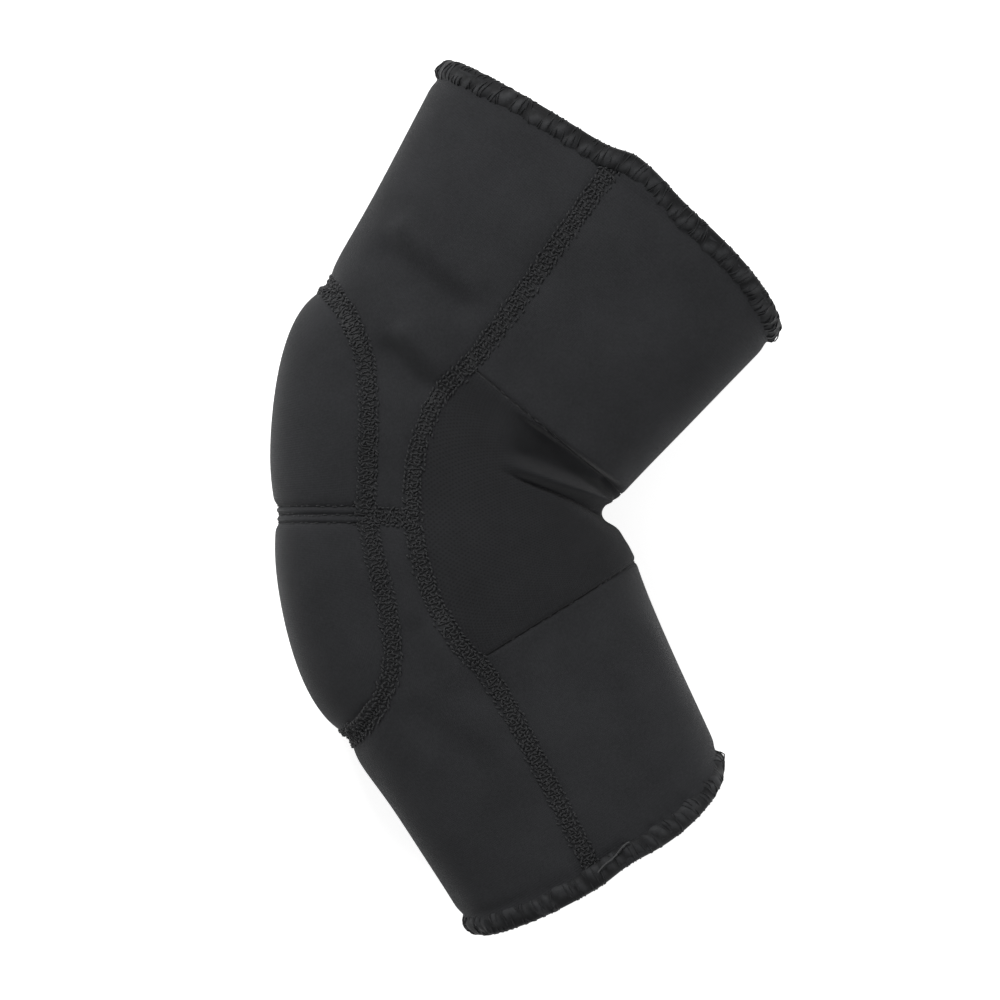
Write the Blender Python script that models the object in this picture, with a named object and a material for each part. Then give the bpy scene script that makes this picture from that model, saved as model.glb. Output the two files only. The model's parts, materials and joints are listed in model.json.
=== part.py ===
"""Padded elbow sleeve, sewn from foam-rubber panels, lying bent on its far side.

Metres, +Z up. Every pattern piece lies on one bent tube. A place on the tube is named by
how far along it lies (-2 top hem, -1 upper pad end, 0 mid seam, 1 lower pad end, 2 bottom hem)
and how far around (0 crest of the pad, pi crook, positive on the near, upper side).
Heights are measured outwards from the outer face of the panels.
"""
import math

import bmesh
import bpy
import numpy as np

# Elbow in plan
ELBOW_WIDTH = 0.0841
PAD_LENGTH = 0.1300
PAD_SLANT = 0.0065
CROOK_GAP = 0.0190
CROOK_SLANT = 0.0028
ELBOW_ROUNDING = 0.45
CROOK_ROUNDING = 1.20
PLAN_TURN = 3.0

# Upper and lower halves of the sleeve
UPPER_LENGTH = 0.0685
UPPER_BEND = 32.0
UPPER_CUFF_WIDTH = 0.1255
UPPER_CUFF_SLOPE = 35.4
LOWER_LENGTH = 0.0655
LOWER_BEND = 30.0
LOWER_CUFF_WIDTH = 0.0900
LOWER_CUFF_SLOPE = 36.2
UPPER_HEM_ARCH = 0.0074
LOWER_HEM_ARCH = 0.0066
HEM_ARCH_SKEW = 0.45

# Depth of the tube, square to the plan, and how square its section is
UPPER_CUFF_DEPTH = 0.0620
ELBOW_DEPTH = 0.0600
LOWER_CUFF_DEPTH = 0.0540
SECTION_SQUARENESS = 0.035

# Pad
PAD_WIDTH = 0.0640
PAD_RISE = 0.0118
PAD_OUTLINE_ROUNDING = 2.9
UPPER_PAD_FLARE = 0.16
LOWER_PAD_FLARE = 0.30
UPPER_CROWN = 3.4
LOWER_CROWN = 2.7
WIDTH_CROWN = 2.2
CHANNEL_DEPTH = 0.0012
CHANNEL_HALF_WIDTH = 0.0060
FOAM_INSET = 0.0050

# Seam lines
SIDE_SEAM_ANGLE = 86.8
SIDE_SEAM_PULL = 14.6
SIDE_SEAM_PULL_REACH = 0.75
UPPER_PIT_RISE = 0.0030

# Crease that the crook folds into
CREASE_LINE = -0.38
CREASE_DEPTH = 0.0036
CREASE_HALF_WIDTH = 0.0032
CREASE_REACH = 70.0

# Thicknesses
PANEL_THICKNESS = 0.0040
PIT_THICKNESS = 0.0028
PIT_RECESS = 0.0004
COVER_THICKNESS = 0.0024
LINER_THICKNESS = 0.0012
SEAM_WIDTH = 0.0058
PAD_SEAM_WIDTH = 0.0050
BLIND_SEAM_WIDTH = 0.0050
SEAM_THICKNESS = 0.0006
THREAD_THICKNESS = 0.0006
BLIND_SEAM_RECESS = 0.0006
HEM_WIDTH = 0.0056
HEM_THICKNESS = 0.0009
REST_FLAT = 0.0002

# Clearances
SEAT_CLEARANCE = 0.0003
LAYER_CLEARANCE = 0.0004
FOAM_CLEARANCE = 0.0007
SEAM_END_CLEARANCE = 0.0008
SLANTED_END_CLEARANCE = 0.0018

# Facets
PANEL_COLUMNS = 26
FLANK_COLUMNS = 3
FLANK_ROWS = 5
OUTER_ROWS = 8
INNER_ROWS = 7
PIT_ROWS = 12
PAD_COLUMNS = 12
PAD_ROWS = 7
HEM_STEPS = 56
SEAM_STEPS = 24
SHORT_SEAM_STEPS = 4

ARCH_STEPS = PAD_COLUMNS + 2 * PAD_ROWS
SEAM_EDGE_GAP = THREAD_THICKNESS / 2 + SEAT_CLEARANCE
HEM_PROUD = SEAT_CLEARANCE + HEM_THICKNESS
SMALL_STEP = 1e-4
ARCH_SAMPLES = 721
TINY = 1e-9
SHARP_FROM = 40.0
NEAR_SIDE = math.radians(SIDE_SEAM_ANGLE)


def unit(vector):
    """The vector at length one."""
    return vector / np.linalg.norm(vector)


def cuff_corners(pad_end, crook_end, length, width, bend, slope, side):
    """Outer and inner corner of a cuff, side 1 for the upper and -1 for the lower."""
    bend = math.radians(bend)
    slope = math.radians(slope)
    centre = (pad_end + crook_end) / 2 + length * np.array([math.sin(bend), side * math.cos(bend)])
    reach = width / 2 * np.array([math.cos(slope), -side * math.sin(slope)])
    return centre - reach, centre + reach


def plan_corners():
    """The pad-side and crook-side corners of the tube from top to bottom, in plan."""
    pad_top = np.array([-PAD_SLANT, PAD_LENGTH / 2])
    crook_top = np.array([ELBOW_WIDTH - CROOK_SLANT, CROOK_GAP / 2])
    crook_bottom = np.array([ELBOW_WIDTH + CROOK_SLANT, -CROOK_GAP / 2])
    upper = cuff_corners(pad_top, crook_top, UPPER_LENGTH, UPPER_CUFF_WIDTH, UPPER_BEND,
                         UPPER_CUFF_SLOPE, 1)
    lower = cuff_corners(-pad_top, crook_bottom, LOWER_LENGTH, LOWER_CUFF_WIDTH, LOWER_BEND,
                         LOWER_CUFF_SLOPE, -1)
    turn = math.radians(-PLAN_TURN)
    turning = np.array([[math.cos(turn), -math.sin(turn)], [math.sin(turn), math.cos(turn)]])
    pad_side = np.array([upper[0], pad_top, -pad_top, lower[0]]) @ turning.T
    crook_side = np.array([upper[1], crook_top, crook_bottom, lower[1]]) @ turning.T
    return pad_side, crook_side


PAD_SIDE, CROOK_SIDE = plan_corners()


def edge_curve(along, corners, rounding):
    """A side of the tube in plan: straight at the cuffs, one smooth bend between them."""
    cuff_top, bend_top, bend_bottom, cuff_bottom = corners
    pull = rounding * np.linalg.norm(bend_bottom - bend_top)
    share = ((np.clip(along, -1, 1) + 1) / 2)[..., None]
    entry = pull * unit(bend_top - cuff_top)
    leave = pull * unit(cuff_bottom - bend_bottom)
    curve = (2 * share**3 - 3 * share**2 + 1) * bend_top + (share**3 - 2 * share**2 + share) * entry
    curve = curve + (3 * share**2 - 2 * share**3) * bend_bottom + (share**3 - share**2) * leave
    for side, cuff, bend in ((-1, cuff_top, bend_top), (1, cuff_bottom, bend_bottom)):
        start = pull / 2 / np.linalg.norm(cuff - bend)
        past = np.maximum(side * along - 1, 0)[..., None]
        curve = curve + (start * past + (1 - start) * past**2) * (cuff - bend)
    return curve


def half_depth(along):
    """Half of the tube's depth, easing from the elbow to each cuff."""
    ease = 0.5 - 0.5 * np.cos(math.pi * np.clip(np.abs(along) / 2, 0, 1))
    cuff = np.where(along < 0, UPPER_CUFF_DEPTH, LOWER_CUFF_DEPTH)
    return (ELBOW_DEPTH + (cuff - ELBOW_DEPTH) * ease) / 2


def bare_tube(along, around):
    """The tube without folds, on the outer face of the panels, resting just above the surface."""
    along, around = np.broadcast_arrays(np.asarray(along, float), np.asarray(around, float))
    outer = edge_curve(along, PAD_SIDE, ELBOW_ROUNDING)
    inner = edge_curve(along, CROOK_SIDE, CROOK_ROUNDING)
    square = SECTION_SQUARENESS
    across = (np.cos(around) - square * np.cos(3 * around)) / (1 - square)
    upward = (np.sin(around) + square * np.sin(3 * around)) / (1 - square)
    plan = (outer + inner) / 2 + (outer - inner) / 2 * across[..., None]
    depth = half_depth(along)
    height = depth * (1 + upward) + HEM_PROUD - REST_FLAT
    return np.concatenate([plan, height[..., None]], axis=-1)


def slopes(along, around):
    """Change of place per step along and per step around."""
    by_along = bare_tube(along + SMALL_STEP, around) - bare_tube(along - SMALL_STEP, around)
    by_around = bare_tube(along, around + SMALL_STEP) - bare_tube(along, around - SMALL_STEP)
    return by_along / (2 * SMALL_STEP), by_around / (2 * SMALL_STEP)


def outward(along, around):
    """The direction straight out of the tube."""
    by_along, by_around = slopes(along, around)
    normal = np.cross(by_along, by_around)
    return normal / np.linalg.norm(normal, axis=-1, keepdims=True)


def length_of(slope):
    """Metres for one step, from a slope."""
    return np.linalg.norm(slope, axis=-1)


def from_crook(around):
    """Angle away from the crook, in degrees."""
    return np.degrees(np.abs((np.asarray(around, float) % (2 * math.pi)) - math.pi))


def fold(along, around):
    """The crease across the crook, deepest in the crook and fading towards the side seams."""
    reach = np.clip(1 - (from_crook(around) / CREASE_REACH)**2, 0, 1)**2
    by_along, _ = slopes(along, around)
    away = (along - CREASE_LINE) * length_of(by_along)
    return -CREASE_DEPTH * reach * np.exp(-(away / CREASE_HALF_WIDTH)**2)


def skin(along, around, height):
    """Places at a height over the panels' outer face, folds included."""
    along, around = np.broadcast_arrays(np.asarray(along, float), np.asarray(around, float))
    lift = fold(along, around) + height
    return bare_tube(along, around) + lift[..., None] * outward(along, around)


def angle_at(along, arc):
    """The angle around at which the section has run the given arc from the pad's crest."""
    angles = np.linspace(0, math.pi, ARCH_SAMPLES)
    places = bare_tube(np.full_like(angles, along), angles)
    runs = np.concatenate([[0], np.cumsum(np.linalg.norm(np.diff(places, axis=0), axis=1))])
    return float(np.interp(arc, runs, angles))


PAD_HALF_ANGLE = angle_at(0.0, PAD_WIDTH / 2)


def pad_flare(along):
    """How much wider the pad grows from the mid seam towards its ends."""
    return 1 + np.where(along < 0, UPPER_PAD_FLARE, LOWER_PAD_FLARE) * np.abs(along)


def pad_half_angle(along):
    """Half of the pad's width, as an angle around."""
    inside = np.clip(1 - np.abs(along)**PAD_OUTLINE_ROUNDING, TINY, 1)
    return PAD_HALF_ANGLE * inside**(1 / PAD_OUTLINE_ROUNDING) * pad_flare(along)


def pad_lift(along, around):
    """Height of the pad's cover: a long crown, drawn in at its edge and at the mid seam."""
    along, around = np.broadcast_arrays(np.asarray(along, float), np.asarray(around, float))
    turned = np.abs((around + math.pi) % (2 * math.pi) - math.pi)
    share = np.clip(turned / pad_half_angle(along), 0, 1)
    crown = np.where(along < 0, UPPER_CROWN, LOWER_CROWN)
    lengthwise = 1 - np.clip(np.abs(along), 0, 1)**crown
    widthwise = 1 - share**WIDTH_CROWN
    from_seam = np.abs(along) * PAD_LENGTH / 2 / CHANNEL_HALF_WIDTH
    channel = CHANNEL_DEPTH * np.exp(-from_seam**2)
    return (PAD_RISE * lengthwise - channel) * widthwise


def side_angle(along):
    """Where the near side seam runs, drawn towards the pad at the elbow."""
    pull = np.exp(-(np.asarray(along, float) / SIDE_SEAM_PULL_REACH)**2)
    return np.radians(SIDE_SEAM_ANGLE - SIDE_SEAM_PULL * pull)


def hem_line(around, side):
    """Where the raw edge of a cuff runs, side -1 for the upper and 1 for the lower cuff."""
    around = np.asarray(around, float)
    arch = UPPER_HEM_ARCH if side < 0 else LOWER_HEM_ARCH
    by_along, _ = slopes(np.full_like(around, 2.0 * side), around)
    rise = arch * np.sin(around)**2 * (1 - HEM_ARCH_SKEW * np.cos(around))
    return side * (2 + rise / length_of(by_along))


def pit_line(around, side):
    """Where a pit seam runs, side -1 for the upper and 1 for the lower."""
    around = np.asarray(around, float)
    if side > 0:
        return np.full_like(around, 1.0)
    by_along, _ = slopes(np.full_like(around, -1.0), around)
    return -1 - UPPER_PIT_RISE * (from_crook(around) / 90)**2 / length_of(by_along)


def sideways(path):
    """The step in along and around that moves each point of a path one metre to its left."""
    along, around = path[:, 0], path[:, 1]
    by_along, by_around = slopes(along, around)
    run = np.gradient(path, axis=0)
    ahead = run[:, :1] * by_along + run[:, 1:] * by_around
    left = np.cross(outward(along, around), ahead)
    left = left / np.linalg.norm(left, axis=1, keepdims=True)
    aa = np.sum(by_along * by_along, axis=1)
    ab = np.sum(by_along * by_around, axis=1)
    bb = np.sum(by_around * by_around, axis=1)
    la = np.sum(left * by_along, axis=1)
    lb = np.sum(left * by_around, axis=1)
    scale = aa * bb - ab**2
    return np.stack([(la * bb - lb * ab) / scale, (lb * aa - la * ab) / scale], axis=1)


def moved_left(path, distance):
    """The path, moved to its left over the tube by a distance in metres."""
    return path + distance * sideways(path)


def along_step(distance, along, around):
    """Share of the along measure that a distance in metres takes up at a place."""
    by_along, _ = slopes(np.float64(along), np.float64(around))
    return distance / length_of(by_along)


def around_step(distance, along, around):
    """Angle around that a distance in metres takes up at a place."""
    _, by_around = slopes(np.float64(along), np.float64(around))
    return distance / length_of(by_around)


def pad_arch(side):
    """The pad's outline from its near foot over its end to its far foot."""
    turn = np.linspace(0, math.pi, ARCH_SAMPLES)
    power = 2 / PAD_OUTLINE_ROUNDING
    along = side * np.abs(np.sin(turn))**power
    around = PAD_HALF_ANGLE * np.sign(np.cos(turn)) * np.abs(np.cos(turn))**power * pad_flare(along)
    runs = np.linalg.norm(np.diff(bare_tube(along, around), axis=0), axis=1)
    run = np.concatenate([[0], np.cumsum(runs)])
    stops = np.linspace(0, run[-1], ARCH_STEPS + 1)
    return np.stack([np.interp(stops, run, along), np.interp(stops, run, around)], axis=1)


def filled(first, last, start, end):
    """Grid of places between four edges: first and last rows, start and end columns."""
    rows, columns = len(start), len(first)
    v = np.linspace(0, 1, rows)[:, None, None]
    u = np.linspace(0, 1, columns)[None, :, None]
    ruled = (1 - v) * first[None] + v * last[None] + (1 - u) * start[:, None] + u * end[:, None]
    corners = (1 - v) * ((1 - u) * first[0] + u * first[-1]) + v * ((1 - u) * last[0] + u * last[-1])
    return ruled - corners


def side_edge(first, last, rows, gap):
    """A panel's edge beside the near side seam. A positive gap lies on the crook's side of it."""
    along = np.linspace(first, last, rows + 1)
    path = np.stack([along, side_angle(along)], axis=1)
    return path + gap * sideways(path) * np.sign(sideways(path)[:, 1:])


def new_finish(name, colour, roughness):
    """A plain surface finish."""
    finish = bpy.data.materials.new(name)
    finish.use_nodes = True
    shader = finish.node_tree.nodes["Principled BSDF"]
    shader.inputs["Base Color"].default_value = (*colour, 1.0)
    shader.inputs["Roughness"].default_value = roughness
    return finish


def add_piece(name, points, faces, finish, carrier):
    """One closed solid with its faces outwards, carried by the empty of its half."""
    mesh = bpy.data.meshes.new(name)
    mesh.from_pydata((np.asarray(points) - np.array(carrier.location)).tolist(), [], faces)
    shell = bmesh.new()
    shell.from_mesh(mesh)
    bmesh.ops.recalc_face_normals(shell, faces=shell.faces[:])
    shell.to_mesh(mesh)
    shell.free()
    mesh.materials.append(finish)
    mesh.shade_smooth()
    mesh.set_sharp_from_angle(angle=math.radians(SHARP_FROM))
    piece = bpy.data.objects.new(name, mesh)
    piece.parent = carrier
    bpy.context.scene.collection.objects.link(piece)
    return piece


def add_sheet(name, grids, low, high, finish, carrier):
    """A sheet over grids of places that share their edges, between two height rules."""
    order = {}
    quads = []
    for grid in grids:
        ids = [[order.setdefault(tuple(place), len(order)) for place in row] for row in np.round(grid, 9)]
        for upper, lower in zip(ids, ids[1:]):
            for c in range(len(upper) - 1):
                quads.append((upper[c], upper[c + 1], lower[c + 1], lower[c]))
    along, around = np.array(list(order)).T
    top = skin(along, around, high(along, around))
    bottom = skin(along, around, low(along, around))
    below = len(order)
    sides = [(quad[k - 1], quad[k]) for quad in quads for k in range(4)]
    known = set(sides)
    faces = quads + [tuple(below + k for k in reversed(quad)) for quad in quads]
    faces += [(b, a, below + a, below + b) for a, b in sides if (b, a) not in known]
    return add_piece(name, np.concatenate([top, bottom]), faces, finish, carrier)


def add_band(name, path, profile, finish, carrier, closed=False, flat=False):
    """A band along a path. The profile gives each corner's side offset and height rule."""
    side = sideways(path)
    if closed:
        side[0] = side[-1] = (side[0] + side[-1]) / 2
        path, side = path[:-1], side[:-1]
    rings = []
    for offset, height in profile:
        places = path + offset * side
        rings.append(skin(places[:, 0], places[:, 1], height(places[:, 0], places[:, 1])))
    rings = np.stack(rings, axis=1)
    if flat:
        rings[..., 2] = np.maximum(rings[..., 2], 0.0)
    steps, corners = rings.shape[:2]
    faces = []
    for s in range(steps if closed else steps - 1):
        after = (s + 1) % steps
        for k in range(corners):
            beside = (k + 1) % corners
            here, there = s * corners, after * corners
            faces.append((here + k, here + beside, there + beside, there + k))
    if not closed:
        faces.append(tuple(range(corners)))
        faces.append(tuple((steps - 1) * corners + k for k in reversed(range(corners))))
    return add_piece(name, rings.reshape(-1, 3), faces, finish, carrier)


def over(height):
    """Height rule over the outer face, which the pad lifts."""
    return lambda along, around: pad_lift(along, around) + height


def level(height):
    """Height rule over the tube itself."""
    return lambda along, around: np.full_like(along, height)


def flatlock_profile(width):
    """A flat band outside, a flat band inside and the thread through the butted edges."""
    leaf = width / 2
    thread = THREAD_THICKNESS / 2
    outer = SEAT_CLEARANCE
    inner = -PANEL_THICKNESS - SEAT_CLEARANCE
    outside = [(leaf, over(outer)), (leaf, over(outer + SEAM_THICKNESS)),
               (-leaf, over(outer + SEAM_THICKNESS)), (-leaf, over(outer)), (-thread, over(outer))]
    inside = [(-thread, level(inner)), (-leaf, level(inner)), (-leaf, level(inner - SEAM_THICKNESS)),
              (leaf, level(inner - SEAM_THICKNESS)), (leaf, level(inner)), (thread, level(inner))]
    return outside + inside + [(thread, over(outer))]


def cover_seam_profile(width):
    """A flat band over the pad's covers, with the thread down between their edges."""
    leaf = width / 2
    thread = THREAD_THICKNESS / 2
    return [(leaf, over(SEAT_CLEARANCE)), (leaf, over(SEAT_CLEARANCE + SEAM_THICKNESS)),
            (-leaf, over(SEAT_CLEARANCE + SEAM_THICKNESS)), (-leaf, over(SEAT_CLEARANCE)),
            (-thread, over(SEAT_CLEARANCE)), (-thread, over(-COVER_THICKNESS)),
            (thread, over(-COVER_THICKNESS)), (thread, over(SEAT_CLEARANCE))]


def blind_profile(width):
    """A seam that shows outside as a fine groove only, with its allowance pressed flat inside."""
    leaf = width / 2
    thread = THREAD_THICKNESS / 2
    inner = -PANEL_THICKNESS - SEAT_CLEARANCE
    return [(thread, level(-BLIND_SEAM_RECESS)), (-thread, level(-BLIND_SEAM_RECESS)),
            (-thread, level(inner)), (-leaf, level(inner)), (-leaf, level(inner - SEAM_THICKNESS)),
            (leaf, level(inner - SEAM_THICKNESS)), (leaf, level(inner)), (thread, level(inner))]


def hem_profile(inward):
    """Thread wrapped round a raw edge. Inward is 1 where the panel lies left of the path."""
    clear, thick = SEAT_CLEARANCE, HEM_THICKNESS
    under = -PANEL_THICKNESS - clear
    corners = [(HEM_WIDTH, clear), (HEM_WIDTH, clear + thick), (0.0, clear + thick), (-clear - thick, 0.0),
               (-clear - thick, -PANEL_THICKNESS), (0.0, under - thick), (HEM_WIDTH, under - thick),
               (HEM_WIDTH, under), (-clear, under), (-clear, clear)]
    return [(inward * offset, level(height)) for offset, height in corners]


def straight(start, end, columns):
    """Evenly spaced places from one place to another."""
    return start + np.linspace(0, 1, columns + 1)[:, None] * (end - start)


def outer_panel(name, side, finish, carrier):
    """Panel on the pad's side: a flank on each side of the pad, joined over the pad's end."""
    outwards = -SEAM_EDGE_GAP if side < 0 else SEAM_EDGE_GAP
    arch = moved_left(pad_arch(side), outwards)
    mid = side * along_step(SEAM_EDGE_GAP, 0.0, arch[0, 1])
    arch[0, 0] = arch[-1, 0] = mid
    foot, shoulder = arch[:FLANK_ROWS + 1], arch[FLANK_ROWS]
    low_edge = side_edge(mid, shoulder[0], FLANK_ROWS, -SEAM_EDGE_GAP)
    low_edge[0, 0] = mid
    flank_top = straight(low_edge[-1], shoulder, FLANK_COLUMNS)
    flank = filled(straight(low_edge[0], foot[0], FLANK_COLUMNS), flank_top, low_edge, foot)
    high_edge = side_edge(shoulder[0], hem_line(side_angle(2.0 * side), side), OUTER_ROWS, -SEAM_EDGE_GAP)
    high_edge[0] = low_edge[-1]
    high_edge[-1, 0] = hem_line(high_edge[-1, 1], side)
    mirror = np.array([1, -1])
    first = np.concatenate([flank_top[:-1], arch[FLANK_ROWS:-FLANK_ROWS], (flank_top * mirror)[-2::-1]])
    around = np.linspace(high_edge[-1, 1], -high_edge[-1, 1], len(first))
    last = np.stack([hem_line(around, side), around], axis=1)
    body = filled(first, last, high_edge, high_edge * mirror)
    grids = [flank, body, (flank * mirror)[:, ::-1]]
    return add_sheet(name, grids, level(-PANEL_THICKNESS), level(0.0), finish, carrier)


def crook_side_panel(name, first_line, last_line, rows, low, high, finish, carrier):
    """Panel that wraps round the crook's side, between two lines across the sleeve."""
    first_end = first_line(side_angle(first_line(NEAR_SIDE)))
    last_end = last_line(side_angle(last_line(NEAR_SIDE)))
    near = side_edge(first_end, last_end, rows, SEAM_EDGE_GAP)
    near[0, 0] = first_line(near[0, 1])
    near[-1, 0] = last_line(near[-1, 1])
    far = np.stack([near[:, 0], 2 * math.pi - near[:, 1]], axis=1)
    first_around = np.linspace(near[0, 1], far[0, 1], PANEL_COLUMNS + 1)
    last_around = np.linspace(near[-1, 1], far[-1, 1], PANEL_COLUMNS + 1)
    first = np.stack([first_line(first_around), first_around], axis=1)
    last = np.stack([last_line(last_around), last_around], axis=1)
    return add_sheet(name, [filled(first, last, near, far)], level(low), level(high), finish, carrier)


def beside_pit_seam(side, gap):
    """Line across the sleeve at a gap from a pit seam, positive towards the bottom hem."""
    def line(around):
        around = np.asarray(around, float)
        by_along, _ = slopes(pit_line(around, side), around)
        return pit_line(around, side) + gap / length_of(by_along)
    return line


def hem_of(side):
    """The raw edge of a cuff as a line across the sleeve."""
    return lambda around: hem_line(around, side)


def pad_grid(side, inset, mid_gap):
    """Places within one half of the pad, inset from its outline and from the mid seam."""
    inwards = inset if side < 0 else -inset
    arch = moved_left(pad_arch(side), inwards)
    mid = side * along_step(mid_gap, 0.0, 0.0)
    arch[:, 0] = side * np.maximum(side * arch[:, 0], side * mid)
    start = arch[:PAD_ROWS + 1]
    end = arch[::-1][:PAD_ROWS + 1]
    last = arch[PAD_ROWS:PAD_ROWS + PAD_COLUMNS + 1]
    start[0, 0] = end[0, 0] = mid
    first = straight(start[0], end[0], PAD_COLUMNS)
    return filled(first, last, start, end)


def pad_half(prefix, side, finishes, carrier):
    """Cover, foam and liner of one half of the pad."""
    cover = pad_grid(side, SEAM_EDGE_GAP, SEAM_EDGE_GAP)
    add_sheet(prefix + "_pad_cover", [cover], over(-COVER_THICKNESS), over(0.0),
              finishes["neoprene"], carrier)
    liner_top = -PANEL_THICKNESS + LINER_THICKNESS
    foam = pad_grid(side, FOAM_INSET, SEAM_EDGE_GAP)
    add_sheet(prefix + "_pad_foam", [foam], level(liner_top + LAYER_CLEARANCE),
              over(-COVER_THICKNESS - FOAM_CLEARANCE), finishes["foam"], carrier)
    liner = pad_grid(side, SEAM_EDGE_GAP, SEAT_CLEARANCE)
    add_sheet(prefix + "_pad_liner", [liner], level(-PANEL_THICKNESS), level(liner_top),
              finishes["jersey"], carrier)


def pad_edge_seam(name, side, finish, carrier):
    """Flatlock round one half of the pad, ending at the mid seam."""
    path = pad_arch(side)
    stop = along_step(SEAM_WIDTH / 2 + SLANTED_END_CLEARANCE, 0.0, PAD_HALF_ANGLE)
    path[0] = (side * stop, pad_half_angle(side * stop))
    path[-1] = path[0] * (1, -1)
    add_band(name, path, flatlock_profile(SEAM_WIDTH), finish, carrier)


def side_seam(name, far, side, finish, carrier):
    """Flatlock down one side of a half, from the hem to the mid seam's line."""
    hem = hem_line(side_angle(2.0 * side), side)
    clear = HEM_WIDTH + SEAM_END_CLEARANCE
    first = hem - side * along_step(clear, hem, side_angle(2.0 * side))
    last = side * along_step(SEAT_CLEARANCE / 2, 0.0, side_angle(0.0))
    along = np.linspace(first, last, SEAM_STEPS + 1)
    around = side_angle(along)
    path = np.stack([along, -around if far else around], axis=1)
    add_band(name, path, flatlock_profile(SEAM_WIDTH), finish, carrier)


def mid_seams(finish, carrier):
    """Seam across the pad's covers, and the flatlock from the pad to each side seam."""
    clear = SEAT_CLEARANCE / 2
    pad_end = PAD_HALF_ANGLE - around_step(clear, 0.0, PAD_HALF_ANGLE)
    around = np.linspace(pad_end, -pad_end, SEAM_STEPS + 1)
    path = np.stack([np.zeros_like(around), around], axis=1)
    add_band("pad_mid_seam", path, cover_seam_profile(PAD_SEAM_WIDTH), finish, carrier)
    start = PAD_HALF_ANGLE + around_step(clear, 0.0, PAD_HALF_ANGLE)
    stop = side_angle(0.0) - around_step(SEAM_WIDTH / 2 + SEAT_CLEARANCE, 0.0, side_angle(0.0))
    for name, sign in (("near_mid_seam", 1), ("far_mid_seam", -1)):
        around = sign * np.linspace(start, stop, SHORT_SEAM_STEPS + 1)
        path = np.stack([np.zeros_like(around), around], axis=1)
        add_band(name, path, flatlock_profile(SEAM_WIDTH), finish, carrier)


def pit_seam(name, side, finish, carrier):
    """Blind seam across the crook, from one side seam round to the other."""
    angle = side_angle(pit_line(NEAR_SIDE, side))
    start = angle + around_step(SEAM_WIDTH / 2 + SLANTED_END_CLEARANCE, side, angle)
    around = np.linspace(start, 2 * math.pi - start, SEAM_STEPS + 1)
    path = np.stack([pit_line(around, side), around], axis=1)
    add_band(name, path, blind_profile(BLIND_SEAM_WIDTH), finish, carrier)


def hem(name, side, finish, carrier):
    """Overlocked edge of a cuff, flat where the sleeve rests on it."""
    around = np.linspace(0, 2 * math.pi, HEM_STEPS + 1)
    path = np.stack([hem_line(around, side), around], axis=1)
    add_band(name, path, hem_profile(side), finish, carrier, closed=True, flat=True)


def add_carrier(name, place):
    """An empty that carries one half of the sleeve, on the axis it turns about."""
    carrier = bpy.data.objects.new(name, None)
    carrier.location = place
    bpy.context.scene.collection.objects.link(carrier)
    return carrier


def centre_over_origin(carriers):
    """Moves both halves so that the sleeve's box is centred over the origin in plan."""
    corners = []
    for carrier in carriers:
        for piece in carrier.children:
            points = np.array([vertex.co for vertex in piece.data.vertices]) + np.array(carrier.location)
            corners += [points.min(axis=0), points.max(axis=0)]
    centre = (np.min(corners, axis=0) + np.max(corners, axis=0)) / 2
    for carrier in carriers:
        carrier.location.x -= centre[0]
        carrier.location.y -= centre[1]


def main():
    """Builds the sleeve."""
    for thing in list(bpy.data.objects):
        bpy.data.objects.remove(thing, do_unlink=True)
    finishes = {
        "neoprene": new_finish("black_neoprene", (0.030, 0.031, 0.034), 0.85),
        "pit": new_finish("perforated_stretch", (0.022, 0.022, 0.025), 0.9),
        "thread": new_finish("black_thread", (0.035, 0.036, 0.039), 0.7),
        "foam": new_finish("grey_foam", (0.12, 0.12, 0.13), 0.95),
        "jersey": new_finish("black_jersey", (0.025, 0.025, 0.028), 0.9),
    }
    hinge = bare_tube(0.0, 0.0)
    upper = add_carrier("upper_half", hinge)
    lower = add_carrier("lower_half", hinge)
    halves = (("upper", -1, upper), ("lower", 1, lower))
    for half, side, carrier in halves:
        outer_panel(half + "_outer_panel", side, finishes["neoprene"], carrier)
        pad_half(half, side, finishes, carrier)
        pad_edge_seam(half + "_pad_edge_seam", side, finishes["thread"], carrier)
        side_seam("near_" + half + "_side_seam", False, side, finishes["thread"], carrier)
        side_seam("far_" + half + "_side_seam", True, side, finishes["thread"], carrier)
        pit_seam(half + "_pit_seam", side, finishes["thread"], carrier)
    crook_side_panel("upper_inner_panel", hem_of(-1), beside_pit_seam(-1, -SEAM_EDGE_GAP), INNER_ROWS,
                     -PANEL_THICKNESS, 0.0, finishes["neoprene"], upper)
    crook_side_panel("lower_inner_panel", beside_pit_seam(1, SEAM_EDGE_GAP), hem_of(1), INNER_ROWS,
                     -PANEL_THICKNESS, 0.0, finishes["neoprene"], lower)
    crook_side_panel("elbow_pit_panel", beside_pit_seam(-1, SEAM_EDGE_GAP),
                     beside_pit_seam(1, -SEAM_EDGE_GAP), PIT_ROWS, -PIT_RECESS - PIT_THICKNESS,
                     -PIT_RECESS, finishes["pit"], upper)
    mid_seams(finishes["thread"], upper)
    hem("top_hem", -1, finishes["thread"], upper)
    hem("bottom_hem", 1, finishes["thread"], lower)
    centre_over_origin((upper, lower))


if __name__ == "__main__":
    main()
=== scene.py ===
"""The looks of a padded elbow sleeve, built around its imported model.

Metres, +Z up. A place on the sleeve is named by how far along it lies (-2 top hem, -1 upper pad end,
0 mid seam, 1 lower pad end, 2 bottom hem) and how far around (0 crest of the pad, pi crook, positive on
the near, upper side). Heights are measured outwards from the outer face of the panels.
"""
import json
import math

import bpy
import numpy as np
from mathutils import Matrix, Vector
from mathutils.kdtree import KDTree

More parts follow.
